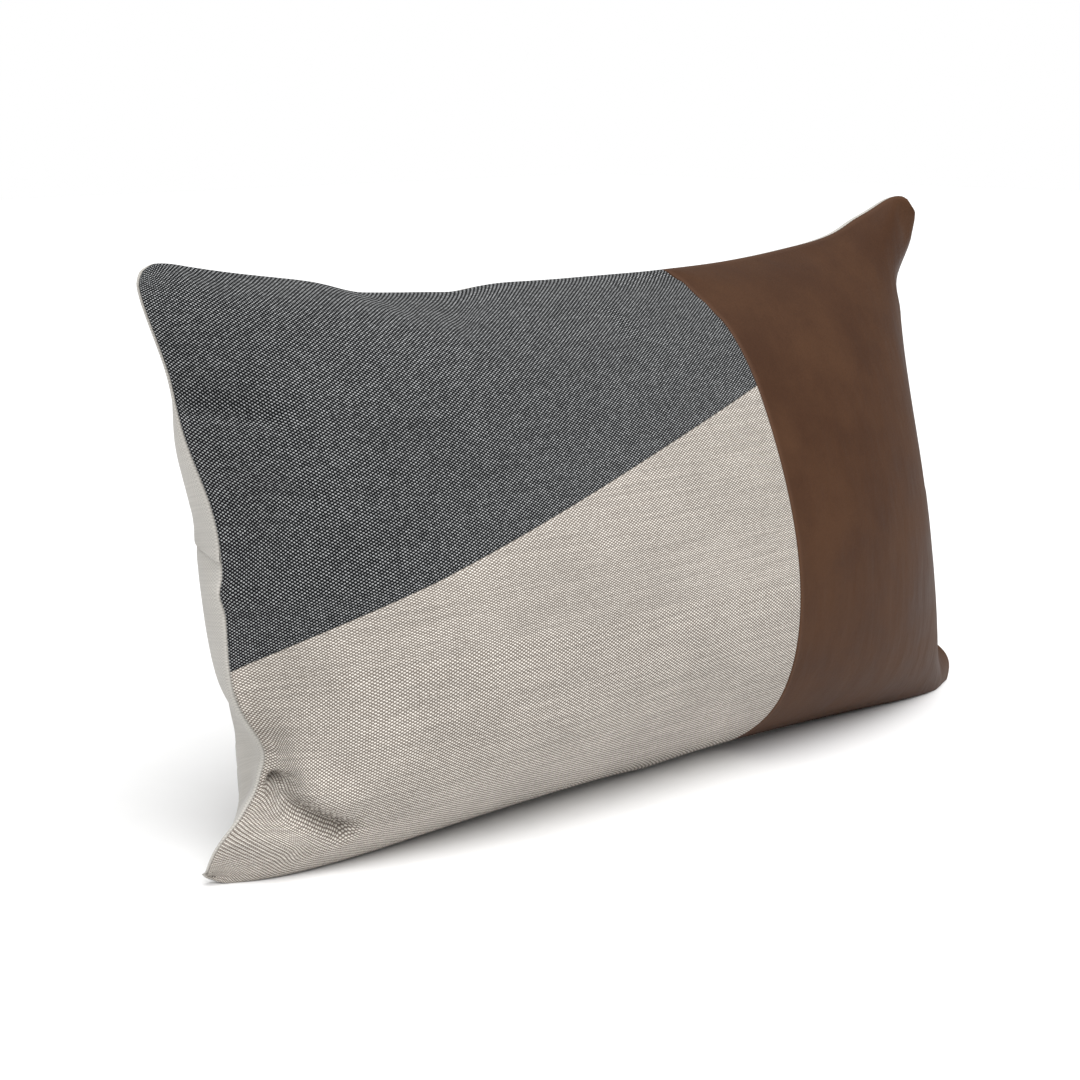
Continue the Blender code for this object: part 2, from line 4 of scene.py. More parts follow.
import bmesh
import bpy
import numpy as np
from mathutils import Matrix


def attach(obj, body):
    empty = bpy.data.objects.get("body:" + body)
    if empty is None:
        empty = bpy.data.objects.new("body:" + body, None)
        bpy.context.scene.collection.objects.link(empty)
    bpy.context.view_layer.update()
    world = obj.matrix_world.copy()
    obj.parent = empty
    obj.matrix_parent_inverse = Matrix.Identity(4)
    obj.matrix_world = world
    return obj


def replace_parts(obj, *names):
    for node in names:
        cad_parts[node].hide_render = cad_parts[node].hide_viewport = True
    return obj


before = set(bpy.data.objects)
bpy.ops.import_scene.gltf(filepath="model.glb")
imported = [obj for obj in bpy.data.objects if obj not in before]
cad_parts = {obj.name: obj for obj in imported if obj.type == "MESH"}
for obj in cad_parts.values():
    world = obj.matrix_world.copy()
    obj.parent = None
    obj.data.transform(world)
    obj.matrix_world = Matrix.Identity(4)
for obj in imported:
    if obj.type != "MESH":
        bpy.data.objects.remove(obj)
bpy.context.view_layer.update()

# The throw pillow's looks. The cover is cut from five panels that all lie on one
# stuffed form, worked out from the flat cover's size; a cloth simulation adds
# what the cloth does between the rims, and a few creases are pressed in.
# A place on the cover is given by s (-1 left rim, +1 right rim), t (-1 bottom rim,
# +1 top rim) and a side (-1 front, +1 back). Lengths are in metres.

# The stuffed form. Most values are the CAD's; the rounder corners, the limit on the
# ears' tips and the back's billow are this script's own.
FLAT_WIDTH = 0.610
FLAT_HEIGHT = 0.356
HALF_SPAN = 0.301
UPPER_RISE = 0.178
LOWER_RISE = 0.1485
SIDE_PULL = 0.021
TOP_DIP = 0.0305
BOTTOM_DIP = 0.015
SIDE_PULL_POWER = 2.35
EDGE_DIP_POWER = 2.29
FRONT_BULGE = 0.0855
BACK_BULGE = 0.0825
LOW_BELLY = 0.155
BULGE_POWER_S = 3.84
BULGE_SHARPNESS_S = 1.27
BULGE_SHARPNESS_T = 0.69
SPREAD_S = 0.72
SPREAD_T = 0.67
CORNER_RADIUS = 0.017
FRONT_SAG = 0.0095
FRONT_SAG_REACH = 0.75
BACK_SAG = 0.036
BACK_SAG_REACH = 0.66
LEAN = math.radians(9.8)
SINK = 0.0117
BASE_SOFTNESS = 0.003
CENTRE_SHIFT = (0.0045, -0.0214)
EARS = {                    # how far each corner is pushed: x, y, up
    (-1, 1): (0.001, 0.003, -0.003),
    (1, 1): (0.001, -0.018, 0.013),
    (-1, -1): (-0.011, 0.016, 0.008),
    (1, -1): (-0.012, 0.006, -0.0125),
}
EAR_POWER = 6
EAR_TIP = 0.97              # beyond this the whole tip is pushed alike
BACK_BILLOW = 0.58          # how much blunter the back's left end is
BILLOW_MIDDLE_T = -0.1
BILLOW_REACH_T = (0.5, 0.95)
BILLOW_REACH_S = (0.1, 0.9)
LEATHER_SEAM_S = 0.197
SLANT_LEFT_T = -0.200
SLANT_RIGHT_T = 0.462
SKIN_OFFSET = 0.0014        # the cover stands this far from the rim plane

# The zip
ZIP_T = 0.28
ZIP_BEND_RADIUS = 1.35
ZIP_ROLL_RADIUS = 0.110
ZIP_BEND_ALONG = (0.195, 0.26)      # the cloth lies on the zip's arc up to here, fading out
ZIP_BEND_BESIDE = (0.012, 0.055)
ZIP_HALF_LENGTH = 0.172
SLOT_HALF_WIDTH = 0.0044
SLOT_HALF_LENGTH = 0.176
SLOT_END_LENGTH = 0.016
TEETH_INNER = 0.0006
TEETH_OUTER = 0.0024
TEETH_LOW = -0.0011
TEETH_HIGH = 0.0003
COIL_PITCH = 0.0015

# Cloth
CANVAS_THICKNESS = 0.0009
LEATHER_THICKNESS = 0.0010
BACK_THICKNESS = 0.0007
FOLD_RADIUS = 0.0011        # how round a cloth turns in at a seam
ALLOWANCE_DEPTH = 0.0025    # how far the turned-in cloth reaches down
TURNED_IN = -1.0            # marks the row of a panel that lies inside a seam
RIM_REACH = 0.010           # how far inside a rim the way into the pillow is read
NORMAL_STEP = 0.0012
MESH_STEP = 0.0036
PLANE_OUT = np.array([0.0, math.cos(LEAN), -math.sin(LEAN)])    # the way to the back
EDGE_STEPS = (0.0, 0.0003, 0.0007, 0.0011, 0.0018, 0.0028, 0.0042, 0.0062, 0.0090)
STITCH_LENGTH = 0.0032
STITCH_RADIUS = 0.00022
STITCH_ARCH = (-1.6, 0.5, 1.0, 1.0, 0.5, -1.6)      # heights along a stitch, in radii
STITCH_SIDES = 6
STITCH_SUNK = FOLD_RADIUS * 1.1
LAP = 0.0012                # beyond the zip the upper panel laps over the lower
LAP_LIFT = 0.0006           # and rises this far, the lower one sinking as much
EDGE_STITCH = 0.0036        # from a folded edge to its stitching
LABEL_SIZE = (0.030, 0.039)
LABEL_S, LABEL_T = -0.78, -0.41
LABEL_DEPTH = 0.0018
LABEL_THICKNESS = 0.0003

# Zip coil and the slider's and tab's edges
WIRE_RADIUS = 0.00028
WIRE_SIDES = 5
COIL_TURN_STEPS = 12
METAL_EDGE = 0.00022

# Layers of the insert: how far its rim moves in, and how much less it bulges
Layer = namedtuple("Layer", "inset offset thinner base")
COVER = Layer(0.0, SKIN_OFFSET, 0.0, 0.0)
CASING = Layer(0.0136, 0.0012, 0.0052, 0.0030)
FILLING = Layer(0.0200, 0.0007, 0.0078, 0.0052)
CASING_GRID = (92, 54)
FILLING_GRID = (62, 37)
FILL_LUMPS = 0.0008
INSERT_OPENING = (0.02, 0.18)       # stitched by hand, as shares of the way round the rim

# Creases: a push (x, y, up) along a line between two places of the flat cover,
# fading over its width. Side 0 moves both sides and the rim; the others keep
# the rim where it is.
Crease = namedtuple("Crease", "side start end width push")
CREASE_HOLD = 0.005         # creases of one side fade out this near the rim
CREASE_SPREAD = 0.25        # how much wider a crease is on an inner layer, by its inset
CREASES = (
    # the left rim draws in between its corners, most above the lower ear
    Crease(0, (-0.305, 0.030), (-0.305, -0.050), 0.044, (0.0085, 0.0, 0.0)),
    Crease(0, (-0.305, -0.088), (-0.300, -0.100), 0.024, (0.0250, 0.006, 0.0)),
    Crease(0, (-0.305, 0.110), (-0.300, 0.110), 0.020, (0.0012, 0.0, 0.0)),
    Crease(-1, (-0.300, 0.097), (-0.258, 0.090), 0.0060, (0.0, 0.0040, -0.001)),
    Crease(-1, (-0.300, 0.056), (-0.250, 0.048), 0.0070, (0.0, 0.0020, 0.0)),
    Crease(0, (-0.305, 0.006), (-0.302, 0.006), 0.0060, (-0.0014, 0.0, 0.0)),
    # the fold above the lower left ear, and the ear's raised middle
    Crease(-1, (-0.298, -0.101), (-0.238, -0.137), 0.0052, (0.002, 0.0092, 0.0055)),
    Crease(-1, (-0.300, -0.088), (-0.245, -0.116), 0.0100, (-0.001, -0.0050, -0.001)),
    Crease(0, (-0.303, -0.125), (-0.268, -0.146), 0.0100, (0.0, -0.0070, 0.0020)),
    Crease(0, (-0.306, -0.180), (-0.300, -0.176), 0.0200, (0.0090, 0.0, 0.0075)),
    # the upper left corner is blunt
    Crease(0, (-0.306, 0.180), (-0.300, 0.174), 0.0160, (0.0035, 0.0, -0.0030)),
    # the top rim sags a little left of the middle and beside the leather
    Crease(0, (-0.150, 0.178), (-0.100, 0.178), 0.0260, (0.0, 0.0, -0.0025)),
    Crease(-1, (0.012, 0.164), (0.055, 0.173), 0.0070, (0.0, 0.0030, -0.002)),
    # the upper right ear: a flat back, a blunt tip, a notch below it
    Crease(1, (0.195, 0.158), (0.238, 0.160), 0.0110, (0.0, -0.0040, -0.0020)),
    Crease(0, (0.245, 0.178), (0.290, 0.178), 0.0200, (0.0, 0.0, 0.0020)),
    Crease(0, (0.306, 0.180), (0.306, 0.176), 0.0180, (-0.0020, 0.0, -0.0105)),
    Crease(0, (0.303, 0.150), (0.306, 0.158), 0.0120, (0.0030, 0.0, 0.0)),
    Crease(0, (0.290, 0.118), (0.306, 0.120), 0.0120, (-0.0035, 0.0, 0.0)),
    # the right rim draws in; the lower right ear swells beyond a notch
    Crease(0, (0.305, 0.030), (0.305, -0.080), 0.032, (-0.0090, 0.0, 0.0)),
    Crease(0, (0.296, -0.116), (0.306, -0.118), 0.0100, (-0.0045, 0.0, 0.0)),
    Crease(0, (0.300, -0.142), (0.306, -0.146), 0.0120, (0.0070, 0.0, 0.0)),
)

# Simulation of the cover
SIM_COLUMNS = 123
SIM_ROWS = 73
SIM_FRAMES = 20
SIM_CAP = 0.0045            # the most that a point may move
SIM_SMOOTH = 0.045          # what the cloth does beyond this scale is left out
ZIP_CALM = (0.016, 0.045)   # the zip's band stays as it is up to here, fading out
ZIP_CALM_ALONG = (ZIP_HALF_LENGTH + 0.02, ZIP_HALF_LENGTH + 0.06)

# Weaves, as pitches on the flat cover, and linear colours
DOT_PITCH = 0.00270         # canvas: between dots of one row
WEFT_PITCH = 0.00085        # canvas: between rows
YARN_WANDER = 0.0010        # canvas: how far the yarns stray
DOT_HALF_WIDTH = 0.24       # canvas: of a full dot, in dot pitches
DOT_HALF_HEIGHT = 0.50      # canvas: of a full dot, in rows
BACK_PITCH = 0.00080
CHARCOAL_WARP = (0.005, 0.0055, 0.0065, 1.0)
CHARCOAL_WEFT = (0.47, 0.48, 0.485, 1.0)
CREAM_WARP = (0.20, 0.17, 0.145, 1.0)
CREAM_WEFT = (0.88, 0.835, 0.765, 1.0)
GREIGE_DARK = (0.40, 0.38, 0.35, 1.0)
GREIGE_LIGHT = (0.60, 0.58, 0.54, 1.0)
LEATHER_DARK = (0.050, 0.0215, 0.0105, 1.0)
LEATHER_LIGHT = (0.068, 0.031, 0.0150, 1.0)
LEATHER_WORN = (0.15, 0.08, 0.05, 1.0)
LEATHER_WORN_WIDTH = 0.005

# Camera and light
CAMERA_AZIMUTH = math.radians(-43.69)
CAMERA_ELEVATION = math.radians(11.09)
CAMERA_ROLL = math.radians(0.25)
CAMERA_LENS = 78.53
CAMERA_SENSOR = 36.0
BASE_IN_VIEW = (0.0573, -0.1327, 1.3534)    # the base from the camera: right, up, away
AMBIENT = 0.42
SOFTBOX = 3.5
SOFTBOX_SPREAD = math.radians(70)
SOFTBOX_TILT = (math.radians(28), math.radians(-10), 0.0)
FLOOR_HALF_SIZE = 6.0


# The stuffed form ------------------------
def fade(value, full, gone):
    """1 up to full, 0 from gone, smooth between."""
    share = np.clip((gone - np.abs(value)) / (gone - full), 0, 1)
    return share * share * (3 - 2 * share)


def rest_on_base(height, base):
    """Heights pressed up to the base, with a short round-up beside it."""
    above = height - base
    rounded = (above + BASE_SOFTNESS) ** 2 / (4 * BASE_SOFTNESS)
    pressed = np.where(above < -BASE_SOFTNESS, 0.0, rounded)
    return base + np.where(above > BASE_SOFTNESS, above, pressed)


def stuffed_form(s, t, side, layer):
    """Place in the pillow's own upright frame, before it leans: x, y, up."""
    upper = UPPER_RISE - layer.inset
    lower = LOWER_RISE - layer.inset
    across = HALF_SPAN - layer.inset
    across = across - SIDE_PULL * (1 - np.abs(t) ** SIDE_PULL_POWER)
    dip = np.where(t > 0, TOP_DIP, BOTTOM_DIP)
    rise = np.where(t > 0, upper, lower)
    rise = rise - dip * (1 - np.abs(s) ** EDGE_DIP_POWER)
    x = across * np.sin(SPREAD_S * s) / math.sin(SPREAD_S)
    up = rise * np.sin(SPREAD_T * t) / math.sin(SPREAD_T)

    # round corners: a square corner turned into a quarter circle
    in_s = np.clip(np.abs(s) * FLAT_WIDTH / 2 - FLAT_WIDTH / 2 + CORNER_RADIUS, 0, None)
    in_t = np.clip(np.abs(t) * FLAT_HEIGHT / 2 - FLAT_HEIGHT / 2 + CORNER_RADIUS, 0, None)
    x = x - np.sign(s) * in_s * (1 - np.sqrt(1 - in_t**2 / (2 * CORNER_RADIUS**2)))
    up = up - np.sign(t) * in_t * (1 - np.sqrt(1 - in_s**2 / (2 * CORNER_RADIUS**2)))

    # the belly sags on to the base
    sag, reach = (FRONT_SAG, FRONT_SAG_REACH) if side < 0 else (BACK_SAG, BACK_SAG_REACH)
    low = np.clip((1 + t) / reach, 0, 1)
    up = up - sag * np.sin(math.pi * low) * (1 - s**4)

    bulge = FRONT_BULGE if side < 0 else BACK_BULGE
    sharpness = BULGE_SHARPNESS_S
    if side > 0:
        near = fade(t - BILLOW_MIDDLE_T, *BILLOW_REACH_T) * fade(s + 1, *BILLOW_REACH_S)
        sharpness = sharpness - BACK_BILLOW * near
    along_s = np.clip(1 - np.abs(s) ** BULGE_POWER_S, 0, 1) ** sharpness
    along_t = np.clip(1 - t**2, 0, 1) ** BULGE_SHARPNESS_T
    half = (bulge - layer.thinner) * along_s * along_t * (1 - LOW_BELLY * t)
    y = side * (half + layer.offset)

    # the ears; an inner layer stops short of the corner, so it is pushed less
    near_s = np.clip(s * (1 - layer.inset / HALF_SPAN), -EAR_TIP, EAR_TIP)
    near_t = np.clip(t * (1 - layer.inset / LOWER_RISE), -EAR_TIP, EAR_TIP)
    for (ear_s, ear_t), push in EARS.items():
        weight = (np.clip(ear_s * near_s, 0, 1) * np.clip(ear_t * near_t, 0, 1)) ** EAR_POWER
        x = x + push[0] * weight
        y = y + push[1] * weight
        up = up + push[2] * weight
    return np.stack([x, y, up + LOWER_RISE], axis=-1)


def lean_back(points):
    """The upright form leant towards +Y and centred on the origin."""
    x, y, up = points[..., 0], points[..., 1], points[..., 2]
    leant_y = y * math.cos(LEAN) + up * math.sin(LEAN)
    leant_z = up * math.cos(LEAN) - y * math.sin(LEAN) - SINK
    return np.stack([x + CENTRE_SHIFT[0], leant_y + CENTRE_SHIFT[1], leant_z], axis=-1)


def zip_frame():
    """The zip's seam's middle, the way out of the cloth and the way up."""
    step = 0.01
    middle = lean_back(stuffed_form(np.array(0.0), np.array(ZIP_T), 1, COVER))
    over = lean_back(stuffed_form(np.array(0.0), np.array(ZIP_T + step), 1, COVER))
    up = (over - middle) / np.linalg.norm(over - middle)
    out = np.cross(up, (1.0, 0.0, 0.0))
    return middle, out / np.linalg.norm(out), up


ZIP_MIDDLE, ZIP_OUT, ZIP_UP = zip_frame()
ZIP_CENTRE = ZIP_MIDDLE - ZIP_BEND_RADIUS * ZIP_OUT


def zip_point(x, out, up):
    """A place beside the zip: x along it, out of the cloth, up across the tape."""
    angle = np.arcsin(np.asarray(x) / ZIP_BEND_RADIUS)
    radius = ZIP_BEND_RADIUS + np.asarray(out)
    along = np.multiply.outer(radius * np.sin(angle), (1.0, 0.0, 0.0))
    outward = np.multiply.outer(radius * np.cos(angle), ZIP_OUT)
    return ZIP_CENTRE + along + outward + np.multiply.outer(np.asarray(up), ZIP_UP)


def zip_bend(s, t):
    """Shift that lays the back cloth on the zip's arc."""
    skin = lean_back(stuffed_form(s, t, 1, COVER))
    from_middle = skin - ZIP_MIDDLE
    x = np.clip(from_middle[..., 0], -0.3, 0.3)
    arc_height = np.sqrt(ZIP_BEND_RADIUS**2 - x**2) - ZIP_BEND_RADIUS
    up = from_middle @ ZIP_UP
    wanted = arc_height - np.clip(up, -0.1, 0.1) ** 2 / (2 * ZIP_ROLL_RADIUS)
    weight = fade(x, *ZIP_BEND_ALONG) * fade(up, *ZIP_BEND_BESIDE)
    return (weight * (wanted - from_middle @ ZIP_OUT))[..., None] * ZIP_OUT


def bare_form(s, t, side, layer=COVER):
    """World places on the form, before creases, wrinkles and the base."""
    s, t = np.broadcast_arrays(np.asarray(s, float), np.asarray(t, float))
    points = lean_back(stuffed_form(s, t, side, layer))
    return points + zip_bend(s, t) if side > 0 else points


def height_at(s, up):
    """t at which the back skin lies the distance up above the zip's seam."""
    s = np.asarray(s, float)
    up = np.broadcast_to(np.asarray(up, float), s.shape)
    low = np.full_like(s, ZIP_T - 0.3)
    high = np.full_like(s, ZIP_T + 0.3)
    for _ in range(36):
        middle = (low + high) / 2
        over = (bare_form(s, middle, 1) - ZIP_MIDDLE) @ ZIP_UP
        low = np.where(over < up, middle, low)
        high = np.where(over < up, high, middle)
    return (low + high) / 2


def zip_opening(s):
    """1 along the zip, 0 beyond its slot."""
    along = (bare_form(s, np.full_like(s, ZIP_T), 1) - ZIP_MIDDLE)[..., 0]
    return fade(along, SLOT_HALF_LENGTH, SLOT_HALF_LENGTH + SLOT_END_LENGTH)


def slant_height(s):
    """t of the slanting seam."""
    share = (s + 1) / (LEATHER_SEAM_S + 1)
    return SLANT_LEFT_T + share * (SLANT_RIGHT_T - SLANT_LEFT_T)


# Creases and wrinkles ------------------------
def rim_distance(s, t):
    """Distance from the nearest rim, on the flat cover."""
    beside = (1 - np.abs(s)) * FLAT_WIDTH / 2
    above = (1 - np.abs(t)) * FLAT_HEIGHT / 2
    return np.minimum(beside, above)


def creased(s, t, side, layer=COVER):
    """Sum of the creases' pushes, as world vectors; wider on the insert's layers."""
    s = s * (1 - layer.inset / HALF_SPAN)
    t = t * (1 - layer.inset / LOWER_RISE)
    u, v = s * FLAT_WIDTH / 2, t * FLAT_HEIGHT / 2
    total = np.zeros(u.shape + (3,))
    held = 1 - np.exp(-(rim_distance(s, t) / CREASE_HOLD) ** 2)
    for crease in CREASES:
        outward = crease.side * crease.push[1] > 0
        if crease.side not in (0, side) or (layer.inset and outward):
            continue
        (u0, v0), (u1, v1) = crease.start, crease.end
        du, dv = u1 - u0, v1 - v0
        share = np.clip(((u - u0) * du + (v - v0) * dv) / (du**2 + dv**2), 0, 1)
        away = np.hypot(u - u0 - share * du, v - v0 - share * dv)
        weight = np.exp(-(away / (crease.width + CREASE_SPREAD * layer.inset)) ** 2)
        if crease.side:
            weight = weight * held
        x, y, up = crease.push
        leant_y = y * math.cos(LEAN) + up * math.sin(LEAN)
        leant_z = up * math.cos(LEAN) - y * math.sin(LEAN)
        total = total + weight[..., None] * np.array([x, leant_y, leant_z])
    return total


def smoothed(field, radius_s, radius_t):
    """A field on a grid, blurred by a Gaussian of that radius in cells, edges held."""
    for axis, radius in ((0, radius_s), (1, radius_t)):
        reach = int(3 * radius)
        kernel = np.exp(-0.5 * (np.arange(-reach, reach + 1) / radius) ** 2)
        kernel = kernel / kernel.sum()
        widths = [(reach, reach) if k == axis else (0, 0) for k in range(3)]
        padded = np.pad(field, widths, mode="reflect", reflect_type="odd")
        size = field.shape[axis]
        field = sum(
            weight * np.take(padded, np.arange(k, k + size), axis=axis)
            for k, weight in enumerate(kernel)
        )
    return field


def layer_place(s, t, side, layer):
    """World places on a layer of the pillow, creased but not wrinkled."""
    return bare_form(s, t, side, layer) + creased(s, t, side, layer)


Bag = namedtuple("Bag", "s t rim number points faces")


def closed_bag(columns, rows, layer):
    """Two grids of the form that share their rim: a closed bag."""
    s, t = np.meshgrid(np.linspace(-1, 1, columns), np.linspace(-1, 1, rows), indexing="ij")
    grid = {side: layer_place(s, t, side, layer) for side in (-1, 1)}
    rim = rim_distance(s, t) < 1e-9
    grid[-1][rim] = (grid[-1][rim] + grid[1][rim]) / 2
    number = {-1: np.arange(s.size).reshape(s.shape)}
    number[1] = number[-1].copy()
    number[1][~rim] = s.size + np.arange((~rim).sum())
    points = np.concatenate([grid[-1].reshape(-1, 3), grid[1][~rim]])
    faces = []
    for side, index in number.items():
        quads = np.stack([index[:-1, :-1], index[1:, :-1], index[1:, 1:], index[:-1, 1:]], axis=-1)
        faces += quads.reshape(-1, 4)[:, ::-side].tolist()
    return Bag(s, t, rim, number, points, faces)


def inflated(bag):
    """How far the bag's points move as cloth cut to the flat cover and blown up."""
    flat_grid = np.stack([bag.s * FLAT_WIDTH / 2, 0 * bag.s, bag.t * FLAT_HEIGHT / 2], axis=-1)
    flat = np.concatenate([flat_grid.reshape(-1, 3), flat_grid[~bag.rim]])
    mesh = bpy.data.meshes.new("cover_cloth")
    mesh.from_pydata(bag.points.tolist(), [], bag.faces)
    cover = bpy.data.objects.new("cover_cloth", mesh)
    bpy.context.scene.collection.objects.link(cover)
    cover.shape_key_add(name="stuffed")
    pattern = cover.shape_key_add(name="flat_pattern")
    pattern.data.foreach_set("co", flat.ravel())
    pattern.value = 0.0

    cloth = cover.modifiers.new("cloth", "CLOTH")
    settings = cloth.settings
    settings.quality = 6
    settings.mass = 0.3
    settings.air_damping = 4.0
    settings.tension_stiffness = 40.0
    settings.compression_stiffness = 40.0
    settings.shear_stiffness = 12.0
    settings.bending_stiffness = 6.0
    settings.use_pressure = True
    settings.uniform_pressure_force = 5.0
    settings.rest_shape_key = pattern
    settings.effector_weights.gravity = 0.0
    cloth.collision_settings.use_collision = False
    cloth.point_cache.frame_start = 1
    cloth.point_cache.frame_end = SIM_FRAMES
    for number_of_frame in range(1, SIM_FRAMES + 1):
        bpy.context.scene.frame_set(number_of_frame)
    shown = cover.evaluated_get(bpy.context.evaluated_depsgraph_get())
    moved = np.empty(len(bag.points) * 3)
    shown.data.vertices.foreach_get("co", moved)
    bpy.context.scene.frame_set(1)
    bpy.data.objects.remove(cover, do_unlink=True)
    return moved.reshape(-1, 3) - bag.points


def simulated_wrinkles():
    """Of what the cloth simulation does to the cover, the small folds only."""
    bag = closed_bag(SIM_COLUMNS, SIM_ROWS, COVER)
    moved = inflated(bag)
    radius_s = SIM_SMOOTH / (FLAT_WIDTH / (SIM_COLUMNS - 1))
    radius_t = SIM_SMOOTH / (FLAT_HEIGHT / (SIM_ROWS - 1))
    wrinkles = {}
    for side, index in bag.number.items():
        shift = moved[index]
        small = shift - smoothed(shift, radius_s, radius_t)
        size = np.linalg.norm(small, axis=-1, keepdims=True)
        wrinkles[side] = small * SIM_CAP * np.tanh(size / SIM_CAP) / np.maximum(size, 1e-9)
    shared = (wrinkles[-1] + wrinkles[1]) / 2
    rim = bag.rim[..., None]
    return {side: np.where(rim, shared, wrinkles[side]) for side in (-1, 1)}


def cubic_weights(share):
    """Catmull-Rom weights of the four grid lines round a place."""
    a, b, c = share, share**2, share**3
    return (
        (-a + 2 * b - c) / 2,
        (2 - 5 * b + 3 * c) / 2,
        (a + 4 * b - 3 * c) / 2,
        (-b + c) / 2,
    )


def read_grid(grid, s, t):
    """The grid's value at s and t, smooth between its points."""
    rows, columns = grid.shape[:2]
    at_s = (s + 1) / 2 * (rows - 1)
    at_t = (t + 1) / 2 * (columns - 1)
    i = np.clip(np.floor(at_s).astype(int), 0, rows - 2)
    j = np.clip(np.floor(at_t).astype(int), 0, columns - 2)
    total = 0.0
    for k, weight_s in enumerate(cubic_weights(at_s - i)):
        for m, weight_t in enumerate(cubic_weights(at_t - j)):
            row = np.clip(i + k - 1, 0, rows - 1)
            column = np.clip(j + m - 1, 0, columns - 1)
            total = total + (weight_s * weight_t)[..., None] * grid[row, column]
    return total


WRINKLES = simulated_wrinkles()


def skin(s, t, side):
    """World places on the finished cover's outside."""
    s, t = np.broadcast_arrays(np.asarray(s, float), np.asarray(t, float))
    points = bare_form(s, t, side)
    extra = creased(s, t, side)
    if WRINKLES:
        extra = extra + read_grid(WRINKLES[side], s, t)
    if side > 0:
        from_middle = points - ZIP_MIDDLE
        along = fade(from_middle[..., 0], *ZIP_CALM_ALONG)
        calm = fade(from_middle @ ZIP_UP, *ZIP_CALM) * along
        extra = extra * (1 - calm[..., None])
    points = points + extra
    points[..., 2] = rest_on_base(points[..., 2], 0.0)
    return points


def skin_normal(s, t, side):
    """The way out of the cover, read a little inside its rims."""
    step_s, step_t = NORMAL_STEP / (FLAT_WIDTH / 2), NORMAL_STEP / (FLAT_HEIGHT / 2)
    s = np.clip(s, -1 + 2 * step_s, 1 - 2 * step_s)
    t = np.clip(t, -1 + 2 * step_t, 1 - 2 * step_t)
    along_s = skin(s + step_s, t, side) - skin(s - step_s, t, side)
    along_t = skin(s, t + step_t, side) - skin(s, t - step_t, side)
    out = np.cross(along_s, along_t) * -side
    return out / np.linalg.norm(out, axis=-1, keepdims=True)


# Building ------------------------
def finished(name, built, material, body="pillow"):
    """A bmesh as a smooth object that rides on its body."""
    mesh = bpy.data.meshes.new(name)
    built.to_mesh(mesh)
    built.free()
    mesh.shade_smooth()
    piece = bpy.data.objects.new(name, mesh)
    piece.data.materials.append(material)
    bpy.context.scene.collection.objects.link(piece)
    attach(piece, body)
    return piece


def grid_mesh(points, uv, side):
    """Quads through a grid of points, with the flat cover's metres as UVs."""
    built = bmesh.new()
    layer = built.loops.layers.uv.new("flat_pattern")
    rows, columns = points.shape[:2]
    verts = [[built.verts.new(points[i, j]) for j in range(columns)] for i in range(rows)]
    for i in range(rows - 1):
        for j in range(columns - 1):
            corners = ((i, j), (i + 1, j), (i + 1, j + 1), (i, j + 1))[:: -side]
            face = built.faces.new([verts[a][b] for a, b in corners])
            for loop, (a, b) in zip(face.loops, corners):
                loop[layer].uv = uv[a, b]
    return built


def run_between(start, end, count):
    """Places from start to end, crowded at both, with the distances from each end.

    The first and last place are doubled for the turned-in cloth; there the
    distance from that end is TURNED_IN.
    """
    length = end - start
    near = np.array(EDGE_STEPS)[:, None]
    share = np.linspace(0, 1, count + 2)[1:-1][:, None]
    first, last = EDGE_STEPS[-1], length - EDGE_STEPS[-1]
    middle = first + (last - first) * share
    along = np.concatenate([near + 0 * length, middle, length - near[::-1]])
    turned = np.full_like(along[:1], TURNED_IN)
    from_start = np.concatenate([turned, along, along[-1:]])
    from_end = np.concatenate([length + 0 * turned, length - along, turned])
    return start + np.concatenate([along[:1], along, along[-1:]]), from_start, from_end


def fold_depth(from_edge):
    """How far the cloth has turned in, that far from its folded edge."""
    inside = np.clip(FOLD_RADIUS - from_edge, 0, FOLD_RADIUS)
    rounded = FOLD_RADIUS - np.sqrt(FOLD_RADIUS**2 - inside**2)
    return np.where(from_edge == TURNED_IN, FOLD_RADIUS + ALLOWANCE_DEPTH, rounded)


def towards_middle(s, t, place=skin):
    """At a rim, the way into the pillow along the plane between its halves."""
    reach_s, reach_t = 1 - RIM_REACH / (FLAT_WIDTH / 2), 1 - RIM_REACH / (FLAT_HEIGHT / 2)
    inner_s, inner_t = np.clip(s, -reach_s, reach_s), np.clip(t, -reach_t, reach_t)
    here = place(s, t, -1) + place(s, t, 1)
    there = place(inner_s, inner_t, -1) + place(inner_s, inner_t, 1)
    inward = there - here
    return inward / np.maximum(np.linalg.norm(inward, axis=-1, keepdims=True), 1e-9)


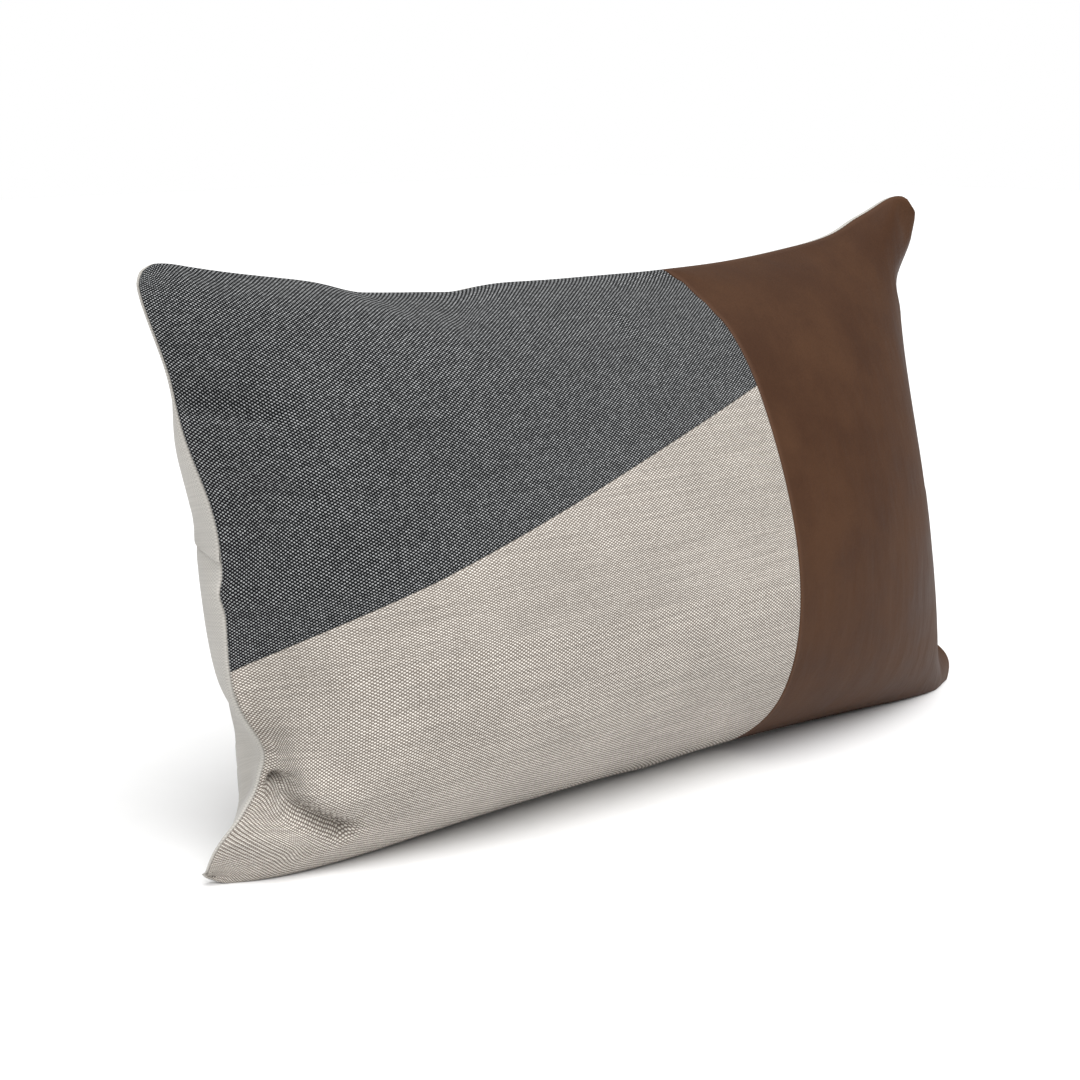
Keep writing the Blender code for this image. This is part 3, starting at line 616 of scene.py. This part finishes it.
def panel(name, side, s_range, t_low, t_high, material, node, thickness, lift=None):
    """A panel of the cover between two columns and two curves t_low(s), t_high(s)."""
    half_width, half_height = FLAT_WIDTH / 2, FLAT_HEIGHT / 2
    ends = np.array(s_range) * half_width
    columns = max(4, round((ends[1] - ends[0]) / MESH_STEP))
    u, *from_sides = run_between(ends[:1], ends[1:], columns)
    s = u[:, 0] / half_width
    low, high = t_low(s) * half_height, t_high(s) * half_height
    rows = max(4, round((high - low).mean() / MESH_STEP))
    v, *from_ends = run_between(low, high, rows)
    v = v.T
    s = np.repeat(s[:, None], v.shape[1], axis=1)
    t = v / half_height

    # each edge turns in: at a rim along the plane between the halves, else down
    seam_depth, rim_depth = 0 * v, 0 * v
    at_rim = (s_range[0] == -1.0, s_range[1] == 1.0, t_low(0.0) == -1.0, t_high(0.0) == 1.0)
    distances = [d + 0 * v for d in from_sides] + [d.T for d in from_ends]
    for is_rim, distance in zip(at_rim, distances):
        depth = fold_depth(distance)
        if is_rim:
            rim_depth = np.maximum(rim_depth, depth)
        else:
            seam_depth = np.maximum(seam_depth, depth)
    if lift:
        seam_depth = seam_depth - lift(s, v)
    points = skin(s, t, side) - seam_depth[..., None] * skin_normal(s, t, side)
    points = points + rim_depth[..., None] * towards_middle(s, t)
    points = points - side * np.minimum(rim_depth, FOLD_RADIUS)[..., None] * PLANE_OUT
    points[..., 2] = np.maximum(points[..., 2], 0.0)
    turned = np.stack([distances[1] == TURNED_IN, distances[3] == TURNED_IN], axis=-1) * 1.0
    turned = turned - np.stack([distances[0] == TURNED_IN, distances[2] == TURNED_IN], axis=-1)
    uv = np.stack([s * half_width, v], axis=-1) + ALLOWANCE_DEPTH * turned
    piece = finished(name, grid_mesh(points, uv, side), material)
    solid = piece.modifiers.new("thickness", "SOLIDIFY")
    solid.thickness = thickness
    solid.offset = -1.0
    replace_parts(piece, node)


def tube(built, centres, across, up, radius, sides):
    """A closed tube round a path, with the two directions of each of its rings."""
    turns = np.arange(sides) * 2 * math.pi / sides
    rings = []
    for centre, one, two in zip(centres, across, up):
        ring = [centre + radius * (math.cos(a) * one + math.sin(a) * two) for a in turns]
        rings.append([built.verts.new(place) for place in ring])
    for ring, following in zip(rings, rings[1:]):
        for m in range(sides):
            built.faces.new((ring[m], ring[m - 1], following[m - 1], following[m]))
    built.faces.new(rings[0])
    built.faces.new(rings[-1][::-1])


def along_path(values, along, places):
    """Vectors read at places along a path."""
    return np.stack([np.interp(places, along, values[:, axis]) for axis in range(3)], axis=1)


def stitches(name, path, out, material, node, sunk=0.0):
    """Lockstitches along a path: short arched runs of thread that dip in between."""
    steps = np.linalg.norm(np.diff(path, axis=0), axis=1)
    along = np.concatenate([[0.0], np.cumsum(steps)])
    count = round(along[-1] / STITCH_LENGTH)
    arch = np.array(STITCH_ARCH) * STITCH_RADIUS
    built = bmesh.new()
    for k in range(count):
        places = (k + np.linspace(0.06, 0.94, len(arch))) * along[-1] / count
        away = along_path(out, along, places)
        centres = along_path(path, along, places) + away * (arch - sunk)[:, None]
        across = np.cross(centres[-1] - centres[0], away[2])
        across = across / np.linalg.norm(across)
        tube(built, centres, [across] * len(arch), away, STITCH_RADIUS, STITCH_SIDES)
    bmesh.ops.recalc_face_normals(built, faces=built.faces[:])
    piece = finished(name, built, material)
    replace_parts(piece, node)


def stitches_on(name, s, t, side, material, node, sunk=0.0):
    """Stitches through the cover's outside, along places of one side."""
    stitches(name, skin(s, t, side), skin_normal(s, t, side), material, node, sunk)


def stitches_round(name, place, start, end, material, node, sunk):
    """Stitches along a rim, between two shares of the way round it."""
    way = np.linspace(start, end, 1200) * 2 * (FLAT_WIDTH + FLAT_HEIGHT)
    corners = np.cumsum([0, FLAT_WIDTH, FLAT_HEIGHT, FLAT_WIDTH, FLAT_HEIGHT])
    s = np.interp(way, corners, (-1, 1, 1, -1, -1))
    t = np.interp(way, corners, (-1, -1, 1, 1, -1))
    path = (place(s, t, -1) + place(s, t, 1)) / 2
    stitches(name, path, -towards_middle(s, t, place), material, node, sunk)


# Materials ------------------------
class Shader:
    """A material's nodes, with short ways to add and join them."""

    def __init__(self, name, **values):
        self.material = bpy.data.materials.new(name)
        self.material.use_nodes = True
        self.tree = self.material.node_tree
        self.surface = self.tree.nodes["Principled BSDF"]
        for socket, value in values.items():
            self.put(self.surface.inputs[socket.replace("_", " ")], value)

    def put(self, socket, value):
        if isinstance(value, bpy.types.NodeSocket):
            self.tree.links.new(value, socket)
        else:
            socket.default_value = value

    def node(self, kind, values=(), **settings):
        made = self.tree.nodes.new("ShaderNode" + kind)
        for key, value in settings.items():
            setattr(made, key, value)
        for socket, value in dict(values).items():
            self.put(made.inputs[socket], value)
        return made

    def math(self, operation, *values):
        return self.node("Math", enumerate(values), operation=operation).outputs[0]

    def mix(self, share, first, second):
        return self.node("Mix", {0: share, 6: first, 7: second}, data_type="RGBA").outputs[2]

    def ramp(self, value, low, high, to_low=0.0, to_high=1.0):
        """A smooth step from to_low to to_high as the value goes from low to high."""
        values = {"Value": value, "From Min": low, "From Max": high}
        values.update({"To Min": to_low, "To Max": to_high})
        return self.node("MapRange", values, interpolation_type="SMOOTHSTEP").outputs[0]

    def noise(self, place, scale, detail=2.0, roughness=0.5):
        values = {"Vector": place, "Scale": scale, "Detail": detail, "Roughness": roughness}
        return self.node("TexNoise", values).outputs["Fac"]

    def stretched(self, place, scale):
        """A place, scaled differently along each axis."""
        return self.node("Mapping", {"Vector": place, "Scale": scale}).outputs[0]

    def pattern(self):
        """The flat cover's u and v in metres, and both as a vector."""
        vector = self.node("UVMap", uv_map="flat_pattern").outputs[0]
        split = self.node("SeparateXYZ", {0: vector})
        return split.outputs[0], split.outputs[1], vector

    def bump(self, height, distance, strength=1.0, under=None):
        values = {"Height": height, "Distance": distance, "Strength": strength}
        if under is not None:
            values["Normal"] = under
        return self.node("Bump", values).outputs[0]

    def finish(self, colour, roughness, normal):
        self.put(self.surface.inputs["Base Color"], colour)
        self.put(self.surface.inputs["Roughness"], roughness)
        self.put(self.surface.inputs["Normal"], normal)
        return self.material


def rgb(red, green, blue):
    return (red, green, blue, 1.0)


def scaled(shader, colour, factor):
    """A colour made lighter or darker by a factor socket."""
    grey = shader.node("CombineColor", {0: factor, 1: factor, 2: factor}).outputs[0]
    made = shader.node("Mix", {0: 1.0, 6: colour, 7: grey}, data_type="RGBA", blend_type="MULTIPLY")
    return made.outputs[2]


def canvas(name, warp, weft, dot_share, contrast):
    """Coarse canvas: thick weft yarns surface as staggered dots between warp yarns."""
    g = Shader(name, Sheen_Weight=0.12, Sheen_Roughness=0.4, Specular_IOR_Level=0.1)
    u, v, place = g.pattern()
    bend = g.math("MULTIPLY", g.math("SUBTRACT", g.noise(place, 40.0), 0.5), YARN_WANDER)
    rows = g.math("DIVIDE", g.math("ADD", v, bend), WEFT_PITCH)
    row = g.math("FLOOR", rows)
    shift = g.math("MULTIPLY", g.math("FLOORED_MODULO", row, 2.0), 0.5)
    columns = g.math("ADD", g.math("DIVIDE", g.math("ADD", u, bend), DOT_PITCH), shift)
    cell = g.node("CombineXYZ", {0: g.math("FLOOR", columns), 1: row}).outputs[0]
    chance = g.node("TexWhiteNoise", {"Vector": cell}, noise_dimensions="2D").outputs["Value"]
    size = g.math("MULTIPLY_ADD", chance, 0.14, dot_share)
    across = g.math("SUBTRACT", g.math("FRACT", columns), 0.5)
    across = g.math("DIVIDE", across, g.math("MULTIPLY", size, DOT_HALF_WIDTH))
    above = g.math("SUBTRACT", g.math("FRACT", rows), 0.5)
    above = g.math("DIVIDE", above, g.math("MULTIPLY", size, DOT_HALF_HEIGHT))
    away = g.math("ADD", g.math("MULTIPLY", across, across), g.math("MULTIPLY", above, above))
    dome = g.math("SQRT", g.math("MAXIMUM", g.math("SUBTRACT", 1.0, away), 0.0))
    dot = g.ramp(away, 1.15, 0.55)
    fibre = g.noise(place, 2600.0, 3.0, 0.7)
    ribs = g.math("ABSOLUTE", g.math("SINE", g.math("MULTIPLY", u, 4 * math.pi / DOT_PITCH)))
    light = g.math("MULTIPLY", dot, g.math("MULTIPLY_ADD", chance, contrast, 1.0 - contrast))
    light = g.math("MULTIPLY", light, g.ramp(fibre, 0.2, 0.7, 0.75, 1.0))
    broad = g.ramp(g.noise(place, 14.0, 3.0), 0.3, 0.7, 0.93, 1.05)
    slub = g.noise(g.stretched(place, (12.0, 560.0, 1.0)), 1.0)
    tone = g.math("MULTIPLY", broad, g.ramp(slub, 0.3, 0.7, 0.9, 1.08))
    colour = scaled(g, g.mix(light, warp, weft), tone)
    height = g.math("ADD", dome, g.math("MULTIPLY", ribs, 0.25))
    height = g.math("ADD", height, g.math("MULTIPLY", fibre, 0.35))
    return g.finish(colour, g.ramp(fibre, 0.3, 0.7, 0.95, 0.82), g.bump(height, 0.00045, 0.8))


def back_cloth(name, colour_dark, colour_light):
    """Fine plain weave."""
    g = Shader(name, Sheen_Weight=0.2, Sheen_Roughness=0.4, Specular_IOR_Level=0.25)
    u, v, place = g.pattern()
    bend = g.math("MULTIPLY", g.noise(place, 90.0), 0.0012)
    warp = g.math("SINE", g.math("MULTIPLY", g.math("ADD", u, bend), math.pi / BACK_PITCH))
    weft = g.math("SINE", g.math("MULTIPLY", g.math("ADD", v, bend), math.pi / BACK_PITCH))
    over = g.math("MULTIPLY_ADD", g.math("MULTIPLY", warp, weft), 0.5, 0.5)
    fibre = g.noise(place, 2400.0, 3.0, 0.7)
    streak = g.noise(g.stretched(place, (20.0, 900.0, 1.0)), 1.0)
    share = g.math("MULTIPLY", over, g.ramp(fibre, 0.2, 0.8, 0.7, 1.0))
    broad = g.ramp(g.noise(place, 12.0, 3.0), 0.3, 0.7, 0.94, 1.04)
    tone = g.math("MULTIPLY", broad, g.ramp(streak, 0.3, 0.7, 0.94, 1.05))
    colour = scaled(g, g.mix(share, colour_dark, colour_light), tone)
    height = g.math("ADD", over, g.math("MULTIPLY", fibre, 0.5))
    return g.finish(colour, g.ramp(fibre, 0.3, 0.7, 0.95, 0.85), g.bump(height, 0.0002, 0.7))


def leather(name):
    """Smooth brown leather: fine pebbles, faint pull lines, lighter worn edges."""
    g = Shader(name, Specular_IOR_Level=0.10)
    u, v, place = g.pattern()
    seam_u = LEATHER_SEAM_S * FLAT_WIDTH / 2
    cells = g.node("TexVoronoi", {"Vector": place, "Scale": 900.0}, feature="SMOOTH_F1")
    pebble = cells.outputs["Distance"]
    pore = g.noise(place, 2200.0, 4.0, 0.65)
    cloud = g.noise(place, 16.0, 4.0, 0.6)
    pull = g.noise(g.stretched(place, (70.0, 22.0, 1.0)), 1.0, 3.0)
    beside_seam = g.ramp(g.math("SUBTRACT", u, seam_u), 0.0, 0.004, 1.0, 0.0)
    high, right = FLAT_HEIGHT / 2, FLAT_WIDTH / 2
    beside_rim = g.ramp(g.math("ABSOLUTE", v), high - LEATHER_WORN_WIDTH, high)
    right_rim = g.ramp(u, right - LEATHER_WORN_WIDTH, right)
    worn = g.math("MAXIMUM", beside_seam, g.math("MAXIMUM", beside_rim, right_rim))
    worn = g.math("MULTIPLY", worn, pore)
    colour = g.mix(g.ramp(cloud, 0.3, 0.7), LEATHER_DARK, LEATHER_LIGHT)
    colour = g.mix(g.math("MULTIPLY", worn, 0.55), colour, LEATHER_WORN)
    colour = scaled(g, colour, g.ramp(pebble, 0.0, 0.9, 1.04, 0.93))
    rough = g.math("ADD", g.ramp(cloud, 0.3, 0.7, 0.44, 0.54), g.math("MULTIPLY", pore, 0.12))
    low = g.bump(pull, 0.0022, 0.4)
    fine = g.math("ADD", g.math("MULTIPLY", pebble, -0.7), g.math("MULTIPLY", pore, 0.4))
    return g.finish(colour, rough, g.bump(fine, 0.00018, 0.5, low))


def object_place(g):
    """The place on the object, in metres."""
    return g.node("TexCoord").outputs["Object"]


def plied(name, dark, light, scale):
    """Twisted thread, cord or tape: fine slanted plies."""
    g = Shader(name, Sheen_Weight=0.2, Specular_IOR_Level=0.3)
    place = object_place(g)
    wave = g.node("TexWave", {"Vector": place, "Scale": scale, "Distortion": 1.5, "Detail": 2.0},
                  bands_direction="DIAGONAL").outputs["Fac"]
    fuzz = g.noise(place, 3000.0, 2.0)
    colour = g.mix(g.math("MULTIPLY", wave, g.ramp(fuzz, 0.2, 0.8, 0.6, 1.0)), dark, light)
    return g.finish(colour, g.ramp(fuzz, 0.3, 0.7, 0.75, 0.9), g.bump(wave, 0.0001, 0.6))


def moulded_nylon(name):
    """Pale nylon, faintly speckled."""
    g = Shader(name, Specular_IOR_Level=0.5)
    place = object_place(g)
    speck = g.noise(place, 900.0, 3.0)
    colour = g.mix(speck, rgb(0.40, 0.37, 0.32), rgb(0.56, 0.53, 0.47))
    return g.finish(colour, g.ramp(speck, 0.3, 0.7, 0.35, 0.5), g.bump(speck, 0.00005, 0.4))


def nickel(name):
    """Satin nickel plate with fine brushing and a few rubbed places."""
    g = Shader(name, Metallic=1.0)
    place = object_place(g)
    lines = g.noise(g.stretched(place, (300.0, 6000.0, 6000.0)), 1.0, 3.0)
    rubbed = g.noise(place, 350.0, 3.0)
    colour = g.mix(g.ramp(rubbed, 0.35, 0.7), rgb(0.50, 0.49, 0.47), rgb(0.66, 0.65, 0.62))
    return g.finish(colour, g.ramp(lines, 0.3, 0.7, 0.24, 0.42), g.bump(lines, 0.00003, 0.5))


def loose_fibre(name, light, scale):
    """White non-woven cloth, satin or fibre."""
    g = Shader(name, Sheen_Weight=0.3, Specular_IOR_Level=0.2)
    place = object_place(g)
    tangle = g.noise(place, scale, 5.0, 0.75)
    colour = scaled(g, light, g.ramp(tangle, 0.25, 0.75, 0.85, 1.05))
    return g.finish(colour, g.ramp(tangle, 0.3, 0.7, 0.9, 1.0), g.bump(tangle, 0.0006, 0.5))


# The pieces ------------------------
def level(value):
    """A panel's edge that keeps to one t."""
    return lambda s: np.full_like(np.asarray(s, float), value)


def front_cover(charcoal, cream, brown):
    """The three panels of the front."""
    left = (-1.0, LEATHER_SEAM_S)
    panel("cover_charcoal_panel", -1, left, slant_height, level(1.0), charcoal,
          "front_charcoal_panel", CANVAS_THICKNESS)
    panel("cover_cream_panel", -1, left, level(-1.0), slant_height, cream,
          "front_cream_panel", CANVAS_THICKNESS)
    panel("cover_leather_panel", -1, (LEATHER_SEAM_S, 1.0), level(-1.0), level(1.0), brown,
          "front_leather_panel", LEATHER_THICKNESS)


def back_cover(cloth):
    """The two panels of the back, apart along the zip and lapped beyond it."""
    def upper_edge(s):
        opening = zip_opening(s)
        return height_at(s, SLOT_HALF_WIDTH * opening - LAP * (1 - opening))

    def lower_edge(s):
        return height_at(s, -SLOT_HALF_WIDTH * zip_opening(s))

    def lap_lift(amount, edge):
        """Near the seam beyond the zip, the upper panel lies on the lower one."""
        def lift(s, v):
            near = fade(v - v[:, edge][:, None], 0.001, 0.008)
            return amount * near * (1 - zip_opening(s))
        return lift

    panel("cover_back_upper_panel", 1, (-1.0, 1.0), upper_edge, level(1.0), cloth,
          "back_upper_panel", BACK_THICKNESS, lap_lift(LAP_LIFT, 0))
    panel("cover_back_lower_panel", 1, (-1.0, 1.0), level(-1.0), lower_edge, cloth,
          "back_lower_panel", BACK_THICKNESS, lap_lift(-LAP_LIFT, -1))


def seam_stitches(thread):
    """The thread of each of the cover's seams and of the zip's two edges."""
    s = np.linspace(-0.985, LEATHER_SEAM_S - 0.012, 400)
    stitches_on("slant_seam_stitches", s, slant_height(s), -1, thread,
                "charcoal_cream_seam_thread", STITCH_SUNK)
    t = np.linspace(-0.98, 0.98, 400)
    stitches_on("leather_seam_stitches", np.full_like(t, LEATHER_SEAM_S), t, -1, thread,
                "leather_seam_thread", STITCH_SUNK)
    s = np.linspace(-0.975, 0.975, 600)
    opening = zip_opening(s)
    t = height_at(s, SLOT_HALF_WIDTH * opening - LAP * (1 - opening) + EDGE_STITCH)
    stitches_on("zip_upper_topstitch", s, t, 1, thread, "zip_lap_topstitch")
    s = s[np.abs(s) < 0.63]
    t = height_at(s, -SLOT_HALF_WIDTH * zip_opening(s) - EDGE_STITCH)
    stitches_on("zip_lower_topstitch_run", s, t, 1, thread, "zip_lower_topstitch")

    stitches_round("rim_seam_stitches", skin, 0.0, 1.0, thread, "rim_seam_thread", STITCH_SUNK)


def zip_coil(nylon):
    """Each row of the zip is a coil: one loop a pitch, sewn to its tape."""
    middle = (TEETH_LOW + TEETH_HIGH) / 2
    tall = (TEETH_HIGH - TEETH_LOW) / 2 - WIRE_RADIUS
    inner, outer = TEETH_INNER + WIRE_RADIUS, TEETH_OUTER - WIRE_RADIUS
    length = 2 * ZIP_HALF_LENGTH
    loops = int(length / COIL_PITCH)
    turns = np.linspace(0, 2 * math.pi, COIL_TURN_STEPS, endpoint=False)
    turn = np.concatenate([k * 2 * math.pi + turns for k in range(loops)])
    for name, node, sign, shift in (
        ("zip_upper_coil", "zip_upper_teeth", 1, 0.0),
        ("zip_lower_coil", "zip_lower_teeth", -1, 0.5),
    ):
        x = -ZIP_HALF_LENGTH + (turn / (2 * math.pi) + shift) * COIL_PITCH
        x = x * (length - 0.001) / (length + COIL_PITCH)
        up = sign * ((inner + outer) / 2 - (outer - inner) / 2 * np.cos(turn))
        path = zip_point(x, middle + tall * np.sin(turn), up)
        forward = np.gradient(path, axis=0)
        forward = forward / np.linalg.norm(forward, axis=1, keepdims=True)
        across = np.cross(forward, (1.0, 0.0, 0.0))
        across = across / np.linalg.norm(across, axis=1, keepdims=True)
        built = bmesh.new()
        tube(built, path, across, np.cross(forward, across), WIRE_RADIUS, WIRE_SIDES)
        bmesh.ops.recalc_face_normals(built, faces=built.faces[:])
        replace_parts(finished(name, built, nylon), node)


def bag_piece(name, layer, grid, material, nodes, lumps=0.0):
    """A closed crowned cushion inside the cover."""
    bag = closed_bag(*grid, layer)
    points = bag.points
    swell = np.sin(points[:, 0] * 95) * np.sin(points[:, 2] * 120 + 1) * lumps
    points[:, 1] += swell * np.sign(points[:, 1])
    points[:, 2] = rest_on_base(points[:, 2], layer.base)
    built = bmesh.new()
    verts = [built.verts.new(point) for point in points]
    for face in bag.faces:
        built.faces.new([verts[k] for k in face])
    piece = finished(name, built, material)
    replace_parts(piece, *nodes)
    return piece


def insert(casing_cloth, fibre, thread):
    """The insert's casing, filling and stitches."""
    casing = bag_piece("insert_casing", CASING, CASING_GRID, casing_cloth,
                       ("insert_front_casing", "insert_back_casing"))
    filling = bag_piece("insert_filling", FILLING, FILLING_GRID, fibre,
                        ("fibre_fill",), FILL_LUMPS)

    def rim(s, t, side):
        points = layer_place(s, t, side, CASING)
        points[..., 2] = rest_on_base(points[..., 2], CASING.base)
        return points

    stitches_round("insert_rim_stitches", rim, 0.20, 1.0, thread, "insert_rim_seam_thread", 0.0)
    stitches_round("insert_closing_stitches", rim, *INSERT_OPENING, thread,
                   "insert_closing_stitch", 0.0)


def label(cloth):
    """The blank care label, flat between the cover's back and the insert."""
    s = LABEL_S + np.linspace(-1, 1, 12) * LABEL_SIZE[0] / FLAT_WIDTH
    t = LABEL_T + np.linspace(-1, 1, 12) * LABEL_SIZE[1] / FLAT_HEIGHT
    s, t = np.meshgrid(s, t, indexing="ij")
    points = skin(s, t, 1) - LABEL_DEPTH * skin_normal(s, t, 1)
    uv = np.stack([s * FLAT_WIDTH / 2, t * FLAT_HEIGHT / 2], axis=-1)
    piece = finished("care_label_strip", grid_mesh(points, uv, 1), cloth)
    solid = piece.modifiers.new("thickness", "SOLIDIFY")
    solid.thickness = LABEL_THICKNESS
    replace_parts(piece, "care_label")


def carried_over(metal, tape):
    """CAD nodes whose shape is right get their real finish."""
    for node, finish in (
        ("zip_upper_tape", tape),
        ("zip_lower_tape", tape),
        ("zip_bottom_stop", metal),
        ("zip_top_stop_upper", metal),
        ("zip_top_stop_lower", metal),
        ("zip_slider", metal),
        ("zip_pull_tab", metal),
    ):
        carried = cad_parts[node]
        carried.data.materials.clear()
        carried.data.materials.append(finish)
    for node in ("zip_slider", "zip_pull_tab"):
        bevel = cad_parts[node].modifiers.new("soft_edges", "BEVEL")
        bevel.width = METAL_EDGE
        bevel.segments = 2
        bevel.limit_method = "ANGLE"


# The studio ------------------------
def make_camera():
    """The camera, placed from where it sees the pillow's base."""
    sin_a, cos_a = math.sin(CAMERA_AZIMUTH), math.cos(CAMERA_AZIMUTH)
    sin_e, cos_e = math.sin(CAMERA_ELEVATION), math.cos(CAMERA_ELEVATION)
    sin_r, cos_r = math.sin(CAMERA_ROLL), math.cos(CAMERA_ROLL)
    level_right = np.array([cos_a, sin_a, 0])
    level_up = np.array([-sin_a * sin_e, cos_a * sin_e, cos_e])
    forward = np.array([-sin_a * cos_e, cos_a * cos_e, -sin_e])
    right, up, away = BASE_IN_VIEW
    base = np.array([*CENTRE_SHIFT, 0])
    matrix = np.eye(4)
    matrix[:3, 0] = level_right * cos_r - level_up * sin_r
    matrix[:3, 1] = level_right * sin_r + level_up * cos_r
    matrix[:3, 2] = -forward
    matrix[:3, 3] = base - right * level_right - up * level_up - away * forward
    data = bpy.data.cameras.new("camera")
    data.lens = CAMERA_LENS
    data.sensor_width = CAMERA_SENSOR
    camera = bpy.data.objects.new("camera", data)
    camera.matrix_world = Matrix(matrix.tolist())
    bpy.context.scene.collection.objects.link(camera)
    bpy.context.scene.camera = camera


def surroundings():
    """A white backdrop that lights the pillow less than it shows."""
    world = bpy.data.worlds.new("studio")
    world.use_nodes = True
    nodes, links = world.node_tree.nodes, world.node_tree.links
    ambient = nodes["Background"]
    ambient.inputs["Color"].default_value = rgb(1.0, 1.0, 1.0)
    ambient.inputs["Strength"].default_value = AMBIENT
    backdrop = nodes.new("ShaderNodeBackground")
    backdrop.inputs["Color"].default_value = rgb(1.0, 1.0, 1.0)
    chosen = nodes.new("ShaderNodeMixShader")
    links.new(nodes.new("ShaderNodeLightPath").outputs["Is Camera Ray"], chosen.inputs[0])
    links.new(ambient.outputs[0], chosen.inputs[1])
    links.new(backdrop.outputs[0], chosen.inputs[2])
    links.new(chosen.outputs[0], nodes["World Output"].inputs[0])
    bpy.context.scene.world = world
    bpy.context.scene.view_settings.view_transform = "Standard"


def softbox():
    """A broad light from above, in front and to the left."""
    data = bpy.data.lights.new("softbox_above", "SUN")
    data.energy = SOFTBOX
    data.angle = SOFTBOX_SPREAD
    light = bpy.data.objects.new("softbox_above", data)
    light.rotation_euler = SOFTBOX_TILT
    bpy.context.scene.collection.objects.link(light)


def floor():
    """The pale floor that the pillow stands on."""
    g = Shader("pale_floor", Specular_IOR_Level=0.1)
    grain = g.noise(object_place(g), 40.0, 3.0)
    g.finish(g.mix(grain, rgb(0.93, 0.93, 0.93), rgb(0.95, 0.95, 0.95)), 0.9, g.bump(grain, 0.0001, 0.1))
    built = bmesh.new()
    bmesh.ops.create_grid(built, x_segments=8, y_segments=8, size=FLOOR_HALF_SIZE)
    mesh = bpy.data.meshes.new("studio_floor")
    built.to_mesh(mesh)
    built.free()
    ground = bpy.data.objects.new("studio_floor", mesh)
    ground.data.materials.append(g.material)
    bpy.context.scene.collection.objects.link(ground)


def main():
    thread = plied("greige_thread", rgb(0.30, 0.28, 0.25), rgb(0.58, 0.55, 0.50), 1400.0)
    tape = plied("zip_tape_weave", rgb(0.30, 0.28, 0.25), rgb(0.50, 0.47, 0.43), 900.0)
    charcoal = canvas("charcoal_canvas_weave", CHARCOAL_WARP, CHARCOAL_WEFT, 0.82, 0.35)
    cream = canvas("cream_canvas_weave", CREAM_WARP, CREAM_WEFT, 1.0, 0.12)
    greige = back_cloth("back_plain_weave", GREIGE_DARK, GREIGE_LIGHT)
    metal = nickel("satin_nickel")
    front_cover(charcoal, cream, leather("smooth_brown_leather"))
    back_cover(greige)
    seam_stitches(thread)
    zip_coil(moulded_nylon("zip_nylon_coil"))
    insert(loose_fibre("non_woven_casing", rgb(0.80, 0.80, 0.79), 500.0),
           loose_fibre("polyester_fibre", rgb(0.88, 0.88, 0.86), 250.0), thread)
    label(loose_fibre("label_satin", rgb(0.82, 0.82, 0.80), 900.0))
    carried_over(metal, tape)
    make_camera()
    surroundings()
    softbox()
    floor()


main()
